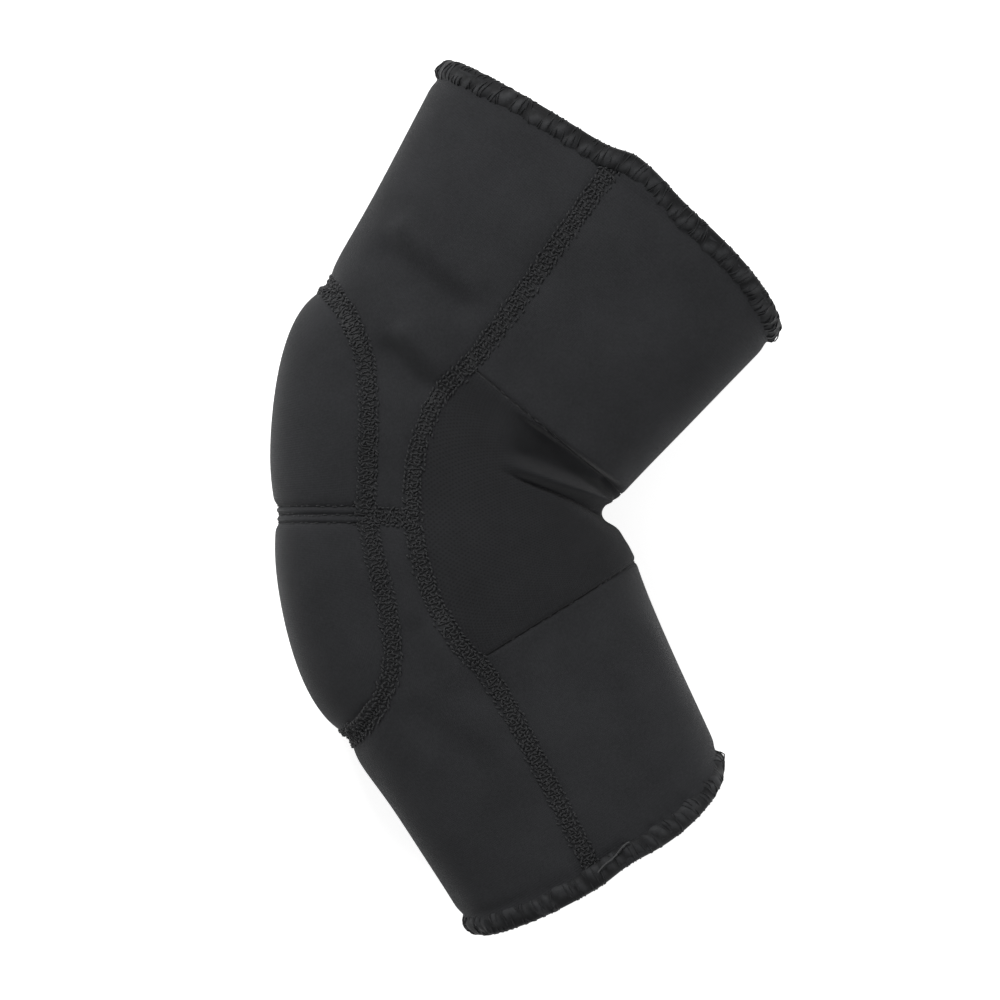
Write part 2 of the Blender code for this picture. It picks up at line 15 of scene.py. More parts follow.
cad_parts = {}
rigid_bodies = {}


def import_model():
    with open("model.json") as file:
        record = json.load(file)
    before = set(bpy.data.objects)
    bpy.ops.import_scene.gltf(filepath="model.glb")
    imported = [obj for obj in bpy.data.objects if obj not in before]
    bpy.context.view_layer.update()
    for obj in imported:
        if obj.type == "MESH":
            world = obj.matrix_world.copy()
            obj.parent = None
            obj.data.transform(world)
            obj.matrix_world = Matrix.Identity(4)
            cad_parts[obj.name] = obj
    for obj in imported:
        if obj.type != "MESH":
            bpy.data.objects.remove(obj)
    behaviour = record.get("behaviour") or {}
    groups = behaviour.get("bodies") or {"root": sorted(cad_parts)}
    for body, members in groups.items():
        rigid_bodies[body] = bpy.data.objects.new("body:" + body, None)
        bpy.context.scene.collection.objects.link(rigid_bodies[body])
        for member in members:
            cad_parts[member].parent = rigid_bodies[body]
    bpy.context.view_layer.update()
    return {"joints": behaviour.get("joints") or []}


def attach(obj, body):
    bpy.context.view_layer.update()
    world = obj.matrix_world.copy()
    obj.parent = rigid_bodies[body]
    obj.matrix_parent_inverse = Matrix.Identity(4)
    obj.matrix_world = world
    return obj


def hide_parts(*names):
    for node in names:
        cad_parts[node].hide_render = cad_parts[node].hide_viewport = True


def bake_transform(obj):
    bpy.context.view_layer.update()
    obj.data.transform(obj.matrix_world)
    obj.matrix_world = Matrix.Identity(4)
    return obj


bl_info = {
    "name": "Padded Elbow Sleeve",
    "version": (1, 0, 0),
    "blender": (4, 5, 0),
    "location": "View3D > Sidebar > Sleeve",
    "description": "Dresses the elbow sleeve in foam rubber, stretch cloth and thread",
    "category": "Object",
}

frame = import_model()
HINGE = np.array(frame["joints"][0]["pos_m"])
UPPER, LOWER = frame["joints"][0]["parent"], frame["joints"][0]["child"]

# The pattern's sizes, as the solids have them
ELBOW_WIDTH = 0.0841
PAD_LENGTH = 0.1300
PAD_SLANT = 0.0065
CROOK_GAP = 0.0190
CROOK_SLANT = 0.0028
ELBOW_ROUNDING = 0.45
CROOK_ROUNDING = 1.20
PLAN_TURN = 3.0
UPPER_LENGTH = 0.0685
UPPER_BEND = 32.0
UPPER_CUFF_WIDTH = 0.1255
UPPER_CUFF_SLOPE = 35.4
LOWER_LENGTH = 0.0655
LOWER_BEND = 30.0
LOWER_CUFF_WIDTH = 0.0900
LOWER_CUFF_SLOPE = 36.2
UPPER_HEM_ARCH = 0.0074
LOWER_HEM_ARCH = 0.0066
HEM_ARCH_SKEW = 0.45
UPPER_CUFF_DEPTH = 0.0620
ELBOW_DEPTH = 0.0600
LOWER_CUFF_DEPTH = 0.0540
SECTION_SQUARENESS = 0.035
PAD_WIDTH = 0.0640
PAD_RISE = 0.0118
PAD_OUTLINE_ROUNDING = 2.9
UPPER_PAD_FLARE = 0.16
LOWER_PAD_FLARE = 0.30
UPPER_CROWN = 3.4
LOWER_CROWN = 2.7
WIDTH_CROWN = 2.2
CHANNEL_DEPTH = 0.0012
CHANNEL_HALF_WIDTH = 0.0060
SIDE_SEAM_ANGLE = 86.8
SIDE_SEAM_PULL = 14.6
SIDE_SEAM_PULL_REACH = 0.75
UPPER_PIT_RISE = 0.0030
CREASE_LINE = -0.38
CREASE_DEPTH = 0.0036
CREASE_HALF_WIDTH = 0.0032
CREASE_REACH = 70.0
PANEL_THICKNESS = 0.0040
PIT_THICKNESS = 0.0028
COVER_THICKNESS = 0.0024
LINER_THICKNESS = 0.0012
HEM_WIDTH = 0.0056
HEM_PROUD = 0.0012
REST_FLAT = 0.0002

# Facets, before one level of subdivision
FLANK_COLUMNS = 10
FLANK_ROWS = 20
PAD_COLUMNS = 48
PAD_ROWS = 28
ARCH_STEPS = PAD_COLUMNS + 2 * PAD_ROWS
OUTER_ROWS = 46
INNER_ROWS = 44
INNER_COLUMNS = 76
PIT_ROWS = 84
HEM_STEPS = 300
HEM_ROUND = 21
SEAM_SPACING = 0.0010

# Gaps between pieces, measuring steps, and the scale of the unrolled cloth
EDGE_GAP = 0.0002
PIT_GAP = 0.00005
SMALL_STEP = 1e-4
ARCH_SAMPLES = 721
MID_SAMPLES = 60
TINY = 1e-9
MERGE_DISTANCE = 1e-5
NEAR_SIDE = math.radians(SIDE_SEAM_ANGLE)
UV_PER_ALONG = 0.062
UV_PER_AROUND = 0.045
SEED = 7

# How much closer facets lie at a panel's edges and at a focus, and over which share of the panel
EDGE_CROWD = 2
EDGE_CROWD_REACH = 0.07
FOCUS_CROWD = 4
FOCUS_CROWD_REACH = 0.10

# Stitches: how far each point lies along its stitch, how far it rises in thread widths, how unevenly they
# are set, the levels, and the most that a flat seam climbs the pad
STITCH_REACH = np.array([-0.36, -0.2, 0.0, 0.2, 0.36])
STITCH_RISE = np.array([-0.5, 0.35, 0.6, 0.35, -0.5])
STITCH_DRIFT = 0.17
STITCH_SINK = (-0.1, 0.45)
STITCH_SLANT = 0.45
STITCH_LEVEL = -0.0003
SEAM_BED = -0.0006
SEAM_CLIMB = 0.0019
SEAM_BAND = 0.0005
INNER_CLEARANCE = 0.0003
INNER_FACE = -PANEL_THICKNESS - INNER_CLEARANCE
THREAD_TAPER = 0.55
THREAD_GLOSS = 0.25

# A flat seam across its half width: its stitches, its looping thread and the rows inside. Long stitches
# are in stitch lengths, and the loops' rise and the finer threads in thread widths
ROW_SPREAD = 0.82
LOOP_SPREAD = 0.7
LOOP_POINTS = 8
LOOP_RISE = 0.4
LOOP_THREAD = 0.7
INNER_SPREAD = 0.6
LONG_STITCH = 1.5
FINE_THREAD = 0.8
BED_COLUMNS = 7
LINING_COLUMNS = 5

# A pit seam: half widths of its allowance and bed, how far bed and tacks lie under the groove, the tacks,
# and how its upper groove fades towards the crook, in degrees
PIT_ALLOWANCE = 0.0025
PIT_BED = 0.0008
PIT_BED_COLUMNS = 3
PIT_BED_SINK = 0.0003
TACK_SINK = 0.0002
TACK_LENGTH = 0.0022
TACK_THREAD = 0.7
PIT_FADE = 0.25
PIT_FADE_ANGLES = (40.0, 75.0)

# The pad's covers: the room they swell into, the air pressure, the cloth, the frames and the most a
# point may move. At their real size the solver hardly moves them, so they swell at a larger scale
SWELL_SCALE = 20
SWELL_ROOM = 0.0012
PAD_PRESSURE = 24.0
JERSEY_MASS = 0.1
JERSEY_STIFFNESS = 15.0
SWELL_FRAMES = 20
SWELL_QUALITY = 8
SWELL_CAP = 0.0020

# The dip in the covers under the mid seam, the level of its stitches, and its form across its half width
GROOVE_DEPTH = 0.0019
GROOVE_HALF_WIDTH = 0.0027
PAD_STITCH_LEVEL = -0.0010
PAD_SEAM_FORM = ((-1.0, 0.0015), (-0.8, 0.0007), (-0.5, 0.0002), (-0.2, 0.0007), (0.0, 0.0014),
                 (0.2, 0.0007), (0.5, 0.0002), (0.8, 0.0007), (1.0, 0.0015))

# Hems: share of the width and height across the outer face, the rolled edge, the wall, and the swelling
# over a side seam
HEM_FACE = ((1.0, -0.0018), (0.93, -0.0009), (0.8, -0.0002), (0.58, 0.0003), (0.3, 0.0002))
HEM_ROLL = 0.0013
HEM_ROLL_PROUD = 0.0001
HEM_ROLL_POINTS = 9
HEM_WALL = 0.0004
HUMP_HEIGHT = 0.0009
HUMP_HALF_WIDTH = 0.0050

# Wraps of thread round a hem: points, drift in wraps, lean as mean and spread, the lean's form from outside
# to inside, how often and how deep they dive in thread widths, and the share at the edge without dives
WRAP_POINTS = 25
WRAP_DRIFT = 0.35
WRAP_LEAN = (0.35, 0.8)
WRAP_LEAN_FORM = (0.0, 1.0, 0.4)
WRAP_DIVES = 4.5
WRAP_DIVE = 0.48
WRAP_SINK = 0.10
WRAP_EDGE = 0.2

# The lumps of a hem: where across it their middles lie, their half width as a share of it, how they lean,
# their drift, heights and reach in spacings, their bluntness, the level from which they rise, the small
# lumps beside the large ones, the heights between which the painted shade in the slots fades out, and
# their spacing at each cuff
LUMP_ACROSS = (0.30, 0.82)
LUMP_HALF_WIDTH = 0.46
LUMP_LEAN = 0.45
LUMP_DRIFT = 0.17
LUMP_UNEVEN = 0.28
LUMP_HEIGHTS = (0.4, 1.5)
LUMP_REACH = (0.34, 0.47)
LUMP_BLUNTNESS = 1.4
LUMP_LEVEL = 0.40
SMALL_LUMP_PITCH = 0.37
SMALL_LUMP_HEIGHT = 0.26
# Painted shade: where the lumps are low, the hem's colour is darkened as shade falls in the slots between
# them
SLOT_LEVEL = 0.2
SLOT_RANGE = 0.6
SLOT_SHADE = 0.35
SLOT_SHADE_ATTRIBUTE = "lump"
HEM_GLOSS = 0.12
LUMP_SHARES = {-1: 1.0, 1: 0.78}

# How a hem's swelling moves its raw edge and its foot: share and reach, and the least share at its rim
RAW_EDGE_SWELL = (0.35, 0.0012)
FOOT_SWELL = (0.5, 0.0014)
RIM_SWELL = 0.3

# The loose end of thread: from and to past the near side seam, its place across the hem as shares, its
# waver, how far it lies over the hem, and over how many points on each side its height is smoothed
LOOSE_END = (0.0010, 0.0135)
LOOSE_POINTS = 40
LOOSE_ACROSS = (0.5, 0.85)
LOOSE_WAVER = 0.05
LOOSE_WAVER_TURN = 9
LOOSE_PROUD = 0.0004
LOOSE_SMOOTHING = 4

# How each hem strays beside the near side seam: distance past it, half width and height
HEM_STRAYS = {
    -1: ((0.0085, 0.0105, 0.0023), (0.0030, 0.0045, 0.0008)),
    1: ((0.0100, 0.0080, -0.0013), (0.0330, 0.0090, 0.0010), (-0.0220, 0.0130, 0.0006)),
}

# Forms beside the crease, between these angles off the crook: distance towards the bottom hem,
# half width and height, in metres
FORM_START = (6.0, 22.0)
FORM_END = (66.0, 79.0)
CREASE_FORMS = (
    (0.0, 0.0009, -0.0022),
    (-0.0029, 0.0016, 0.0028),
    (-0.0064, 0.0024, -0.0034),
    (-0.0110, 0.0050, -0.0044),
)

# Broad swells: along, degrees around, reach along, reach around in degrees, height in metres
GIVE = (
    (-1.15, 0.0, 0.30, 40.0, 0.0015),
    (1.20, 0.0, 0.25, 40.0, 0.0015),
    (1.95, 0.0, 0.25, 40.0, -0.0014),
    (1.55, 180.0, 0.45, 40.0, -0.0013),
    (-2.0, 0.0, 0.25, 40.0, -0.0010),
    (0.0, 0.0, 0.25, 30.0, 0.0007),
)

# Slack of the cloth in waves: turns along, start, turns around, start, and share
SLACK_WAVES = (
    (2.3, 0.7, 3, 1.1, 1.0),
    (5.1, -1.3, 5, 0.0, 1.0),
    (9.7, 2.0, 11, 0.4, 0.5),
)

# Soft folds on the near side: from and to in plan, half width and height, in metres. The cloth stands
# up to the left of the line and sinks to its right
DENTS = (
    ((-0.0375, 0.0725), (-0.0180, 0.0580), 0.0042, 0.0024),
    ((-0.0370, 0.0440), (-0.0285, 0.0350), 0.0038, 0.0024),
    ((-0.0285, -0.0375), (-0.0270, -0.0500), 0.0042, 0.0013),
    ((-0.0308, -0.0575), (-0.0130, -0.0700), 0.0050, 0.0010),
)

# The stage: the camera over the sleeve, the surroundings, the floor, and the lamps with their place, size
# and power
CAMERA_PLAN = (-0.00813, -0.00038)
CAMERA_DISTANCE = 1.2
FRAME_WIDTH = 0.290
SENSOR = 36.0
WORLD_STRENGTH = 0.38
FLOOR_SIZE = 6
FLOOR_GLOW = 0.72
LAMPS = (
    ("key_softbox", (-0.32, 0.80, 0.68), 0.30, 7.9),
    ("left_softbox", (-1.10, 0.20, 0.50), 0.5, 1.5),
    ("right_softbox", (0.95, -0.70, 0.42), 0.5, 5.2),
)


class SleeveSizes(bpy.types.PropertyGroup):
    """Sizes of the sewing that a maker would change."""

    seam_width: bpy.props.FloatProperty(
        name="Seam width", description="Width of a flat seam", default=0.0058, unit="LENGTH")
    needle_rows: bpy.props.IntProperty(
        name="Needle rows", description="Rows of stitches across a flat seam", default=5)
    stitch_length: bpy.props.FloatProperty(
        name="Stitch length", description="Length of one stitch", default=0.0014, unit="LENGTH")
    thread_width: bpy.props.FloatProperty(
        name="Thread width", description="Width of the sewing thread", default=0.0005, unit="LENGTH")
    wrap_spacing: bpy.props.FloatProperty(
        name="Wrap spacing", description="Distance between wraps round a hem", default=0.0017,
        unit="LENGTH")
    lump_spacing: bpy.props.FloatProperty(
        name="Lump spacing", description="Distance between lumps of a hem", default=0.0045, unit="LENGTH")
    lump_height: bpy.props.FloatProperty(
        name="Lump height", description="Height of the lumps of a hem", default=0.0009, unit="LENGTH")
    wrap_slant: bpy.props.FloatProperty(
        name="Wrap slant", description="How far a wrap runs along the hem", default=0.0030, unit="LENGTH")
    pad_seam_width: bpy.props.FloatProperty(
        name="Pad seam width", description="Width of the seam across the pad", default=0.0050,
        unit="LENGTH")
    seam_draw: bpy.props.FloatProperty(
        name="Seam draw", description="How deep a seam draws the panels in", default=0.0007,
        unit="LENGTH")
    seam_draw_width: bpy.props.FloatProperty(
        name="Seam draw width", description="How far from a seam the panels dip", default=0.0042,
        unit="LENGTH")
    pit_draw: bpy.props.FloatProperty(
        name="Pit seam draw", description="Depth of the groove at a pit seam", default=0.0006,
        unit="LENGTH")
    pit_draw_width: bpy.props.FloatProperty(
        name="Pit seam width", description="Half width of that groove", default=0.0008, unit="LENGTH")
    hem_draw: bpy.props.FloatProperty(
        name="Hem draw", description="Depth of the groove beside a hem", default=0.0008, unit="LENGTH")
    hem_draw_width: bpy.props.FloatProperty(
        name="Hem draw width", description="Half width of that groove", default=0.0015, unit="LENGTH")
    slack: bpy.props.FloatProperty(
        name="Slack", description="Height of the soft unevenness of the cloth", default=0.00022,
        unit="LENGTH")


class SleeveFinish(bpy.types.PropertyGroup):
    """Colours and patterns that a maker would change."""

    face_colour: bpy.props.FloatVectorProperty(
        name="Face", description="Colour of the knitted face", subtype="COLOR", size=3,
        default=(0.0242, 0.0248, 0.0268))
    pit_colour: bpy.props.FloatVectorProperty(
        name="Stretch panel", description="Colour of the stretch panel", subtype="COLOR", size=3,
        default=(0.0205, 0.0209, 0.0226))
    thread_colour: bpy.props.FloatVectorProperty(
        name="Thread", description="Colour of the thread", subtype="COLOR", size=3,
        default=(0.0240, 0.0245, 0.0262))
    # The cloth under the stitches, given a colour darker than the face: its own colour plus painted shade
    # between the threads
    bed_colour_with_shade: bpy.props.FloatVectorProperty(
        name="Seam bed", description="Colour of the cloth under the stitches", subtype="COLOR", size=3,
        default=(0.0200, 0.0205, 0.0219))
    hem_colour: bpy.props.FloatVectorProperty(
        name="Hem thread", description="Colour of the thread round the hems", subtype="COLOR", size=3,
        default=(0.0190, 0.0195, 0.0208))
    # The hem roll's colour at the tops of its lumps; painted shade darkens it in the slots between them
    roll_colour: bpy.props.FloatVectorProperty(
        name="Hem roll", description="Colour of the matted threads of the hems", subtype="COLOR", size=3,
        default=(0.0310, 0.0318, 0.0338))
    loose_colour: bpy.props.FloatVectorProperty(
        name="Loose thread", description="Colour of a loose end of thread", subtype="COLOR", size=3,
        default=(0.0550, 0.0555, 0.0570))
    lining_colour: bpy.props.FloatVectorProperty(
        name="Lining", description="Colour of the lining", subtype="COLOR", size=3,
        default=(0.0210, 0.0214, 0.0230))
    knit_pitch: bpy.props.FloatProperty(
        name="Knit pitch", description="Width of one knitted wale", default=0.0005, unit="LENGTH")
    hole_pitch: bpy.props.FloatProperty(
        name="Hole pitch", description="Distance between holes in the stretch panel", default=0.0016,
        unit="LENGTH")
    hole_width: bpy.props.FloatProperty(
        name="Hole width", description="Width of a hole in the stretch panel", default=0.0006,
        unit="LENGTH")


def sizes():
    """The sewing sizes of this scene."""
    return bpy.context.scene.sleeve_sizes


def finish():
    """The colours of this scene."""
    return bpy.context.scene.sleeve_finish


def unit(vector):
    """The vector at length one."""
    return vector / np.linalg.norm(vector)


def cuff_corners(pad_end, crook_end, length, width, bend, slope, side):
    """Outer and inner corner of a cuff, side 1 for the upper and -1 for the lower."""
    bend = math.radians(bend)
    slope = math.radians(slope)
    centre = (pad_end + crook_end) / 2 + length * np.array([math.sin(bend), side * math.cos(bend)])
    reach = width / 2 * np.array([math.cos(slope), -side * math.sin(slope)])
    return centre - reach, centre + reach


def plan_corners():
    """The pad-side and crook-side corners of the tube from top to bottom, in plan."""
    pad_top = np.array([-PAD_SLANT, PAD_LENGTH / 2])
    crook_top = np.array([ELBOW_WIDTH - CROOK_SLANT, CROOK_GAP / 2])
    crook_bottom = np.array([ELBOW_WIDTH + CROOK_SLANT, -CROOK_GAP / 2])
    upper = cuff_corners(pad_top, crook_top, UPPER_LENGTH, UPPER_CUFF_WIDTH, UPPER_BEND,
                         UPPER_CUFF_SLOPE, 1)
    lower = cuff_corners(-pad_top, crook_bottom, LOWER_LENGTH, LOWER_CUFF_WIDTH, LOWER_BEND,
                         LOWER_CUFF_SLOPE, -1)
    turn = math.radians(-PLAN_TURN)
    turning = np.array([[math.cos(turn), -math.sin(turn)], [math.sin(turn), math.cos(turn)]])
    pad_side = np.array([upper[0], pad_top, -pad_top, lower[0]]) @ turning.T
    crook_side = np.array([upper[1], crook_top, crook_bottom, lower[1]]) @ turning.T
    return pad_side, crook_side


def edge_curve(along, corners, rounding):
    """A side of the tube in plan: straight at the cuffs, one smooth bend between them."""
    cuff_top, bend_top, bend_bottom, cuff_bottom = corners
    pull = rounding * np.linalg.norm(bend_bottom - bend_top)
    share = ((np.clip(along, -1, 1) + 1) / 2)[..., None]
    entry = pull * unit(bend_top - cuff_top)
    leave = pull * unit(cuff_bottom - bend_bottom)
    curve = (2 * share**3 - 3 * share**2 + 1) * bend_top + (share**3 - 2 * share**2 + share) * entry
    curve = curve + (3 * share**2 - 2 * share**3) * bend_bottom + (share**3 - share**2) * leave
    for side, cuff, bend in ((-1, cuff_top, bend_top), (1, cuff_bottom, bend_bottom)):
        start = pull / 2 / np.linalg.norm(cuff - bend)
        past = np.maximum(side * along - 1, 0)[..., None]
        curve = curve + (start * past + (1 - start) * past**2) * (cuff - bend)
    return curve


PAD_SIDE, CROOK_SIDE = plan_corners()
CREST = edge_curve(np.array(0.0), PAD_SIDE, ELBOW_ROUNDING)
PAD_SIDE = PAD_SIDE + HINGE[:2] - CREST
CROOK_SIDE = CROOK_SIDE + HINGE[:2] - CREST


def half_depth(along):
    """Half of the tube's depth, easing from the elbow to each cuff."""
    ease = 0.5 - 0.5 * np.cos(math.pi * np.clip(np.abs(along) / 2, 0, 1))
    cuff = np.where(along < 0, UPPER_CUFF_DEPTH, LOWER_CUFF_DEPTH)
    return (ELBOW_DEPTH + (cuff - ELBOW_DEPTH) * ease) / 2


def bare_tube(along, around):
    """The tube without folds, on the outer face of the panels, resting just above the floor."""
    along, around = np.broadcast_arrays(np.asarray(along, float), np.asarray(around, float))
    outer = edge_curve(along, PAD_SIDE, ELBOW_ROUNDING)
    inner = edge_curve(along, CROOK_SIDE, CROOK_ROUNDING)
    square = SECTION_SQUARENESS
    across = (np.cos(around) - square * np.cos(3 * around)) / (1 - square)
    upward = (np.sin(around) + square * np.sin(3 * around)) / (1 - square)
    plan = (outer + inner) / 2 + (outer - inner) / 2 * across[..., None]
    height = half_depth(along) * (1 + upward) + HEM_PROUD - REST_FLAT
    return np.concatenate([plan, height[..., None]], axis=-1)


def slopes(along, around):
    """Change of place per step along and per step around."""
    by_along = bare_tube(along + SMALL_STEP, around) - bare_tube(along - SMALL_STEP, around)
    by_around = bare_tube(along, around + SMALL_STEP) - bare_tube(along, around - SMALL_STEP)
    return by_along / (2 * SMALL_STEP), by_around / (2 * SMALL_STEP)


def outward(along, around):
    """The direction straight out of the tube."""
    by_along, by_around = slopes(along, around)
    normal = np.cross(by_along, by_around)
    return normal / np.linalg.norm(normal, axis=-1, keepdims=True)


def length_of(slope):
    """Metres for one step, from a slope."""
    return np.linalg.norm(slope, axis=-1)


def from_crook(around):
    """Angle away from the crook, in degrees."""
    return np.degrees(np.abs((np.asarray(around, float) % (2 * math.pi)) - math.pi))


def smooth_step(value, low, high):
    """Rises from 0 at low to 1 at high, without a corner."""
    share = np.clip((value - low) / (high - low), 0, 1)
    return share**2 * (3 - 2 * share)


def fold(along, around):
    """The crease across the crook: a sharp fold, the ridge above it and the hollow above that."""
    angle = from_crook(around)
    by_along, _ = slopes(along, around)
    away = (along - CREASE_LINE) * length_of(by_along)
    shape = -CREASE_DEPTH * np.exp(-(away / CREASE_HALF_WIDTH)**2)
    shape = shape * np.clip(1 - (angle / CREASE_REACH)**2, 0, 1)**2
    seen = smooth_step(angle, *FORM_START) * (1 - smooth_step(angle, *FORM_END))
    for centre, half_width, height in CREASE_FORMS:
        shape = shape + seen * height * np.exp(-((away - centre) / half_width)**2)
    return shape


def dented(points):
    """How far the soft dents move the cloth at each point, on the near side only."""
    moved = np.zeros(points.shape[:-1])
    near = np.clip((points[..., 2] - HINGE[2]) / (ELBOW_DEPTH / 3), 0, 1)
    for start, end, width, depth in DENTS:
        start, end = np.array(start), np.array(end)
        run = unit(end - start)
        offset = points[..., :2] - start
        ahead = offset @ run
        aside = offset @ np.array([-run[1], run[0]])
        past = np.maximum(np.maximum(-ahead, ahead - np.linalg.norm(end - start)), 0)
        slope = aside / width * np.exp(0.5 - (aside / width)**2 / 2)
        moved = moved + depth * near * slope * np.exp(-(past / width)**2)
    return moved


def given(along, around):
    """How far the cloth has given way from the pattern's shape, in broad swells."""
    rise = np.zeros(np.shape(along))
    for at_along, at_around, reach_along, reach_around, height in GIVE:
        turned = (around - math.radians(at_around) + math.pi) % (2 * math.pi) - math.pi
        aside = np.degrees(turned) / reach_around
        rise = rise + height * np.exp(-((along - at_along) / reach_along)**2 - aside**2)
    return rise


def uneven(along, around):
    """The soft unevenness of cloth that lies slack."""
    waves = np.zeros(np.shape(along))
    for by_along, start_along, by_around, start_around, share in SLACK_WAVES:
        wave = np.sin(by_along * along + start_along) * np.sin(by_around * around + start_around)
        waves = waves + share * wave
    return sizes().slack * waves


def cloth(along, around, height):
    """Places at a height over the panels' outer face, with crease, dents and slack."""
    along, around = np.broadcast_arrays(np.asarray(along, float), np.asarray(around, float))
    base = bare_tube(along, around)
    lift = fold(along, around) + dented(base) + given(along, around) + uneven(along, around) + height
    return base + lift[..., None] * outward(along, around)


def angle_at(along, arc):
    """The angle around at which the section has run the given arc from the pad's crest."""
    angles = np.linspace(0, math.pi, ARCH_SAMPLES)
    places = bare_tube(np.full_like(angles, along), angles)
    runs = np.concatenate([[0], np.cumsum(np.linalg.norm(np.diff(places, axis=0), axis=1))])
    return float(np.interp(arc, runs, angles))


PAD_HALF_ANGLE = angle_at(0.0, PAD_WIDTH / 2)


def pad_flare(along):
    """How much wider the pad grows from the mid seam towards its ends."""
    return 1 + np.where(along < 0, UPPER_PAD_FLARE, LOWER_PAD_FLARE) * np.abs(along)


def pad_half_angle(along):
    """Half of the pad's width, as an angle around."""
    inside = np.clip(1 - np.abs(along)**PAD_OUTLINE_ROUNDING, TINY, 1)
    return PAD_HALF_ANGLE * inside**(1 / PAD_OUTLINE_ROUNDING) * pad_flare(along)


def pad_lift(along, around):
    """Height of the pad's cover: a long crown, drawn in at its edge and at the mid seam."""
    along, around = np.broadcast_arrays(np.asarray(along, float), np.asarray(around, float))
    turned = np.abs((around + math.pi) % (2 * math.pi) - math.pi)
    share = np.clip(turned / pad_half_angle(along), 0, 1)
    crown = np.where(along < 0, UPPER_CROWN, LOWER_CROWN)
    lengthwise = 1 - np.clip(np.abs(along), 0, 1)**crown
    widthwise = 1 - share**WIDTH_CROWN
    from_seam = np.abs(along) * PAD_LENGTH / 2 / CHANNEL_HALF_WIDTH
    channel = CHANNEL_DEPTH * np.exp(-from_seam**2)
    return (PAD_RISE * lengthwise - channel) * widthwise


def side_angle(along):
    """Where the near side seam runs, drawn towards the pad at the elbow."""
    pull = np.exp(-(np.asarray(along, float) / SIDE_SEAM_PULL_REACH)**2)
    return np.radians(SIDE_SEAM_ANGLE - SIDE_SEAM_PULL * pull)


def hem_line(around, side):
    """Where the raw edge of a cuff runs, side -1 for the upper and 1 for the lower cuff."""
    around = np.asarray(around, float)
    arch = UPPER_HEM_ARCH if side < 0 else LOWER_HEM_ARCH
    by_along, _ = slopes(np.full_like(around, 2.0 * side), around)
    rise = arch * np.sin(around)**2 * (1 - HEM_ARCH_SKEW * np.cos(around))
    return side * (2 + rise / length_of(by_along))


def pit_line(around, side):
    """Where a pit seam runs, side -1 for the upper and 1 for the lower."""
    around = np.asarray(around, float)
    if side > 0:
        return np.full_like(around, 1.0)
    by_along, _ = slopes(np.full_like(around, -1.0), around)
    return -1 - UPPER_PIT_RISE * (from_crook(around) / 90)**2 / length_of(by_along)


def sideways(path):
    """The step in along and around that moves each point of a path one metre to its left."""
    along, around = path[:, 0], path[:, 1]
    by_along, by_around = slopes(along, around)
    run = np.gradient(path, axis=0)
    ahead = run[:, :1] * by_along + run[:, 1:] * by_around
    left = np.cross(outward(along, around), ahead)
    left = left / np.linalg.norm(left, axis=1, keepdims=True)
    lengthwise = np.sum(by_along * by_along, axis=1)
    crosswise = np.sum(by_along * by_around, axis=1)
    roundwise = np.sum(by_around * by_around, axis=1)
    left_along = np.sum(left * by_along, axis=1)
    left_around = np.sum(left * by_around, axis=1)
    scale = lengthwise * roundwise - crosswise**2
    step_along = (left_along * roundwise - left_around * crosswise) / scale
    step_around = (left_around * lengthwise - left_along * crosswise) / scale
    return np.stack([step_along, step_around], axis=1)


def along_step(distance, along, around):
    """Share of the along measure that a distance in metres takes up at a place."""
    by_along, _ = slopes(np.float64(along), np.float64(around))
    return distance / length_of(by_along)


def run_of(path):
    """Metres run along a path at each of its points."""
    places = bare_tube(path[:, 0], path[:, 1])
    return np.concatenate([[0], np.cumsum(np.linalg.norm(np.diff(places, axis=0), axis=1))])


class SeamLine:
    """A line on the sleeve, measured so that stitches can be set out along it."""

    def __init__(self, path):
        self.path = path
        self.left = sideways(path)
        self.run = run_of(path)
        self.length = self.run[-1]

    def at(self, stops):
        """Places at the given runs, and the step to the left there."""
        places = np.stack([np.interp(stops, self.run, column) for column in self.path.T], axis=-1)
        lefts = np.stack([np.interp(stops, self.run, column) for column in self.left.T], axis=-1)
        return places, lefts


def resampled(path, shares):
    """The path with points at the given shares of its length."""
    run = run_of(path)
    stops = np.asarray(shares) * run[-1]
    return np.stack([np.interp(stops, run, column) for column in path.T], axis=1)


def spread(steps, focus=None):
    """Shares from 0 to 1 that lie closer together at both ends, and at a focus if one is given."""
    even = np.linspace(0, 1, ARCH_SAMPLES)
    crowd = np.ones_like(even)
    for edge in (0, 1):
        crowd = crowd + EDGE_CROWD * np.exp(-((even - edge) / EDGE_CROWD_REACH)**2)
    if focus is not None:
        crowd = crowd + FOCUS_CROWD * np.exp(-((even - focus) / FOCUS_CROWD_REACH)**2)
    count = np.concatenate([[0], np.cumsum((crowd[1:] + crowd[:-1]) / 2)])
    return np.interp(np.linspace(0, count[-1], steps + 1), count, even)


def pad_arch(side, shares):
    """The pad's outline from its near foot over its end to its far foot."""
    turn = np.linspace(0, math.pi, ARCH_SAMPLES)
    power = 2 / PAD_OUTLINE_ROUNDING
    along = side * np.abs(np.sin(turn))**power
    around = PAD_HALF_ANGLE * np.sign(np.cos(turn)) * np.abs(np.cos(turn))**power * pad_flare(along)
    return resampled(np.stack([along, around], axis=1), shares)


def filled(first, last, start, end, focus=None):
    """Grid of places between four edges: first and last rows, start and end columns."""
    rows, columns = len(start), len(first)
    down = spread(rows - 1, focus)[:, None, None]
    across = np.linspace(0, 1, columns)[None, :, None]
    ruled = (1 - down) * first[None] + down * last[None]
    ruled = ruled + (1 - across) * start[:, None] + across * end[:, None]
    first_corners = (1 - across) * first[0] + across * first[-1]
    last_corners = (1 - across) * last[0] + across * last[-1]
    return ruled - ((1 - down) * first_corners + down * last_corners)


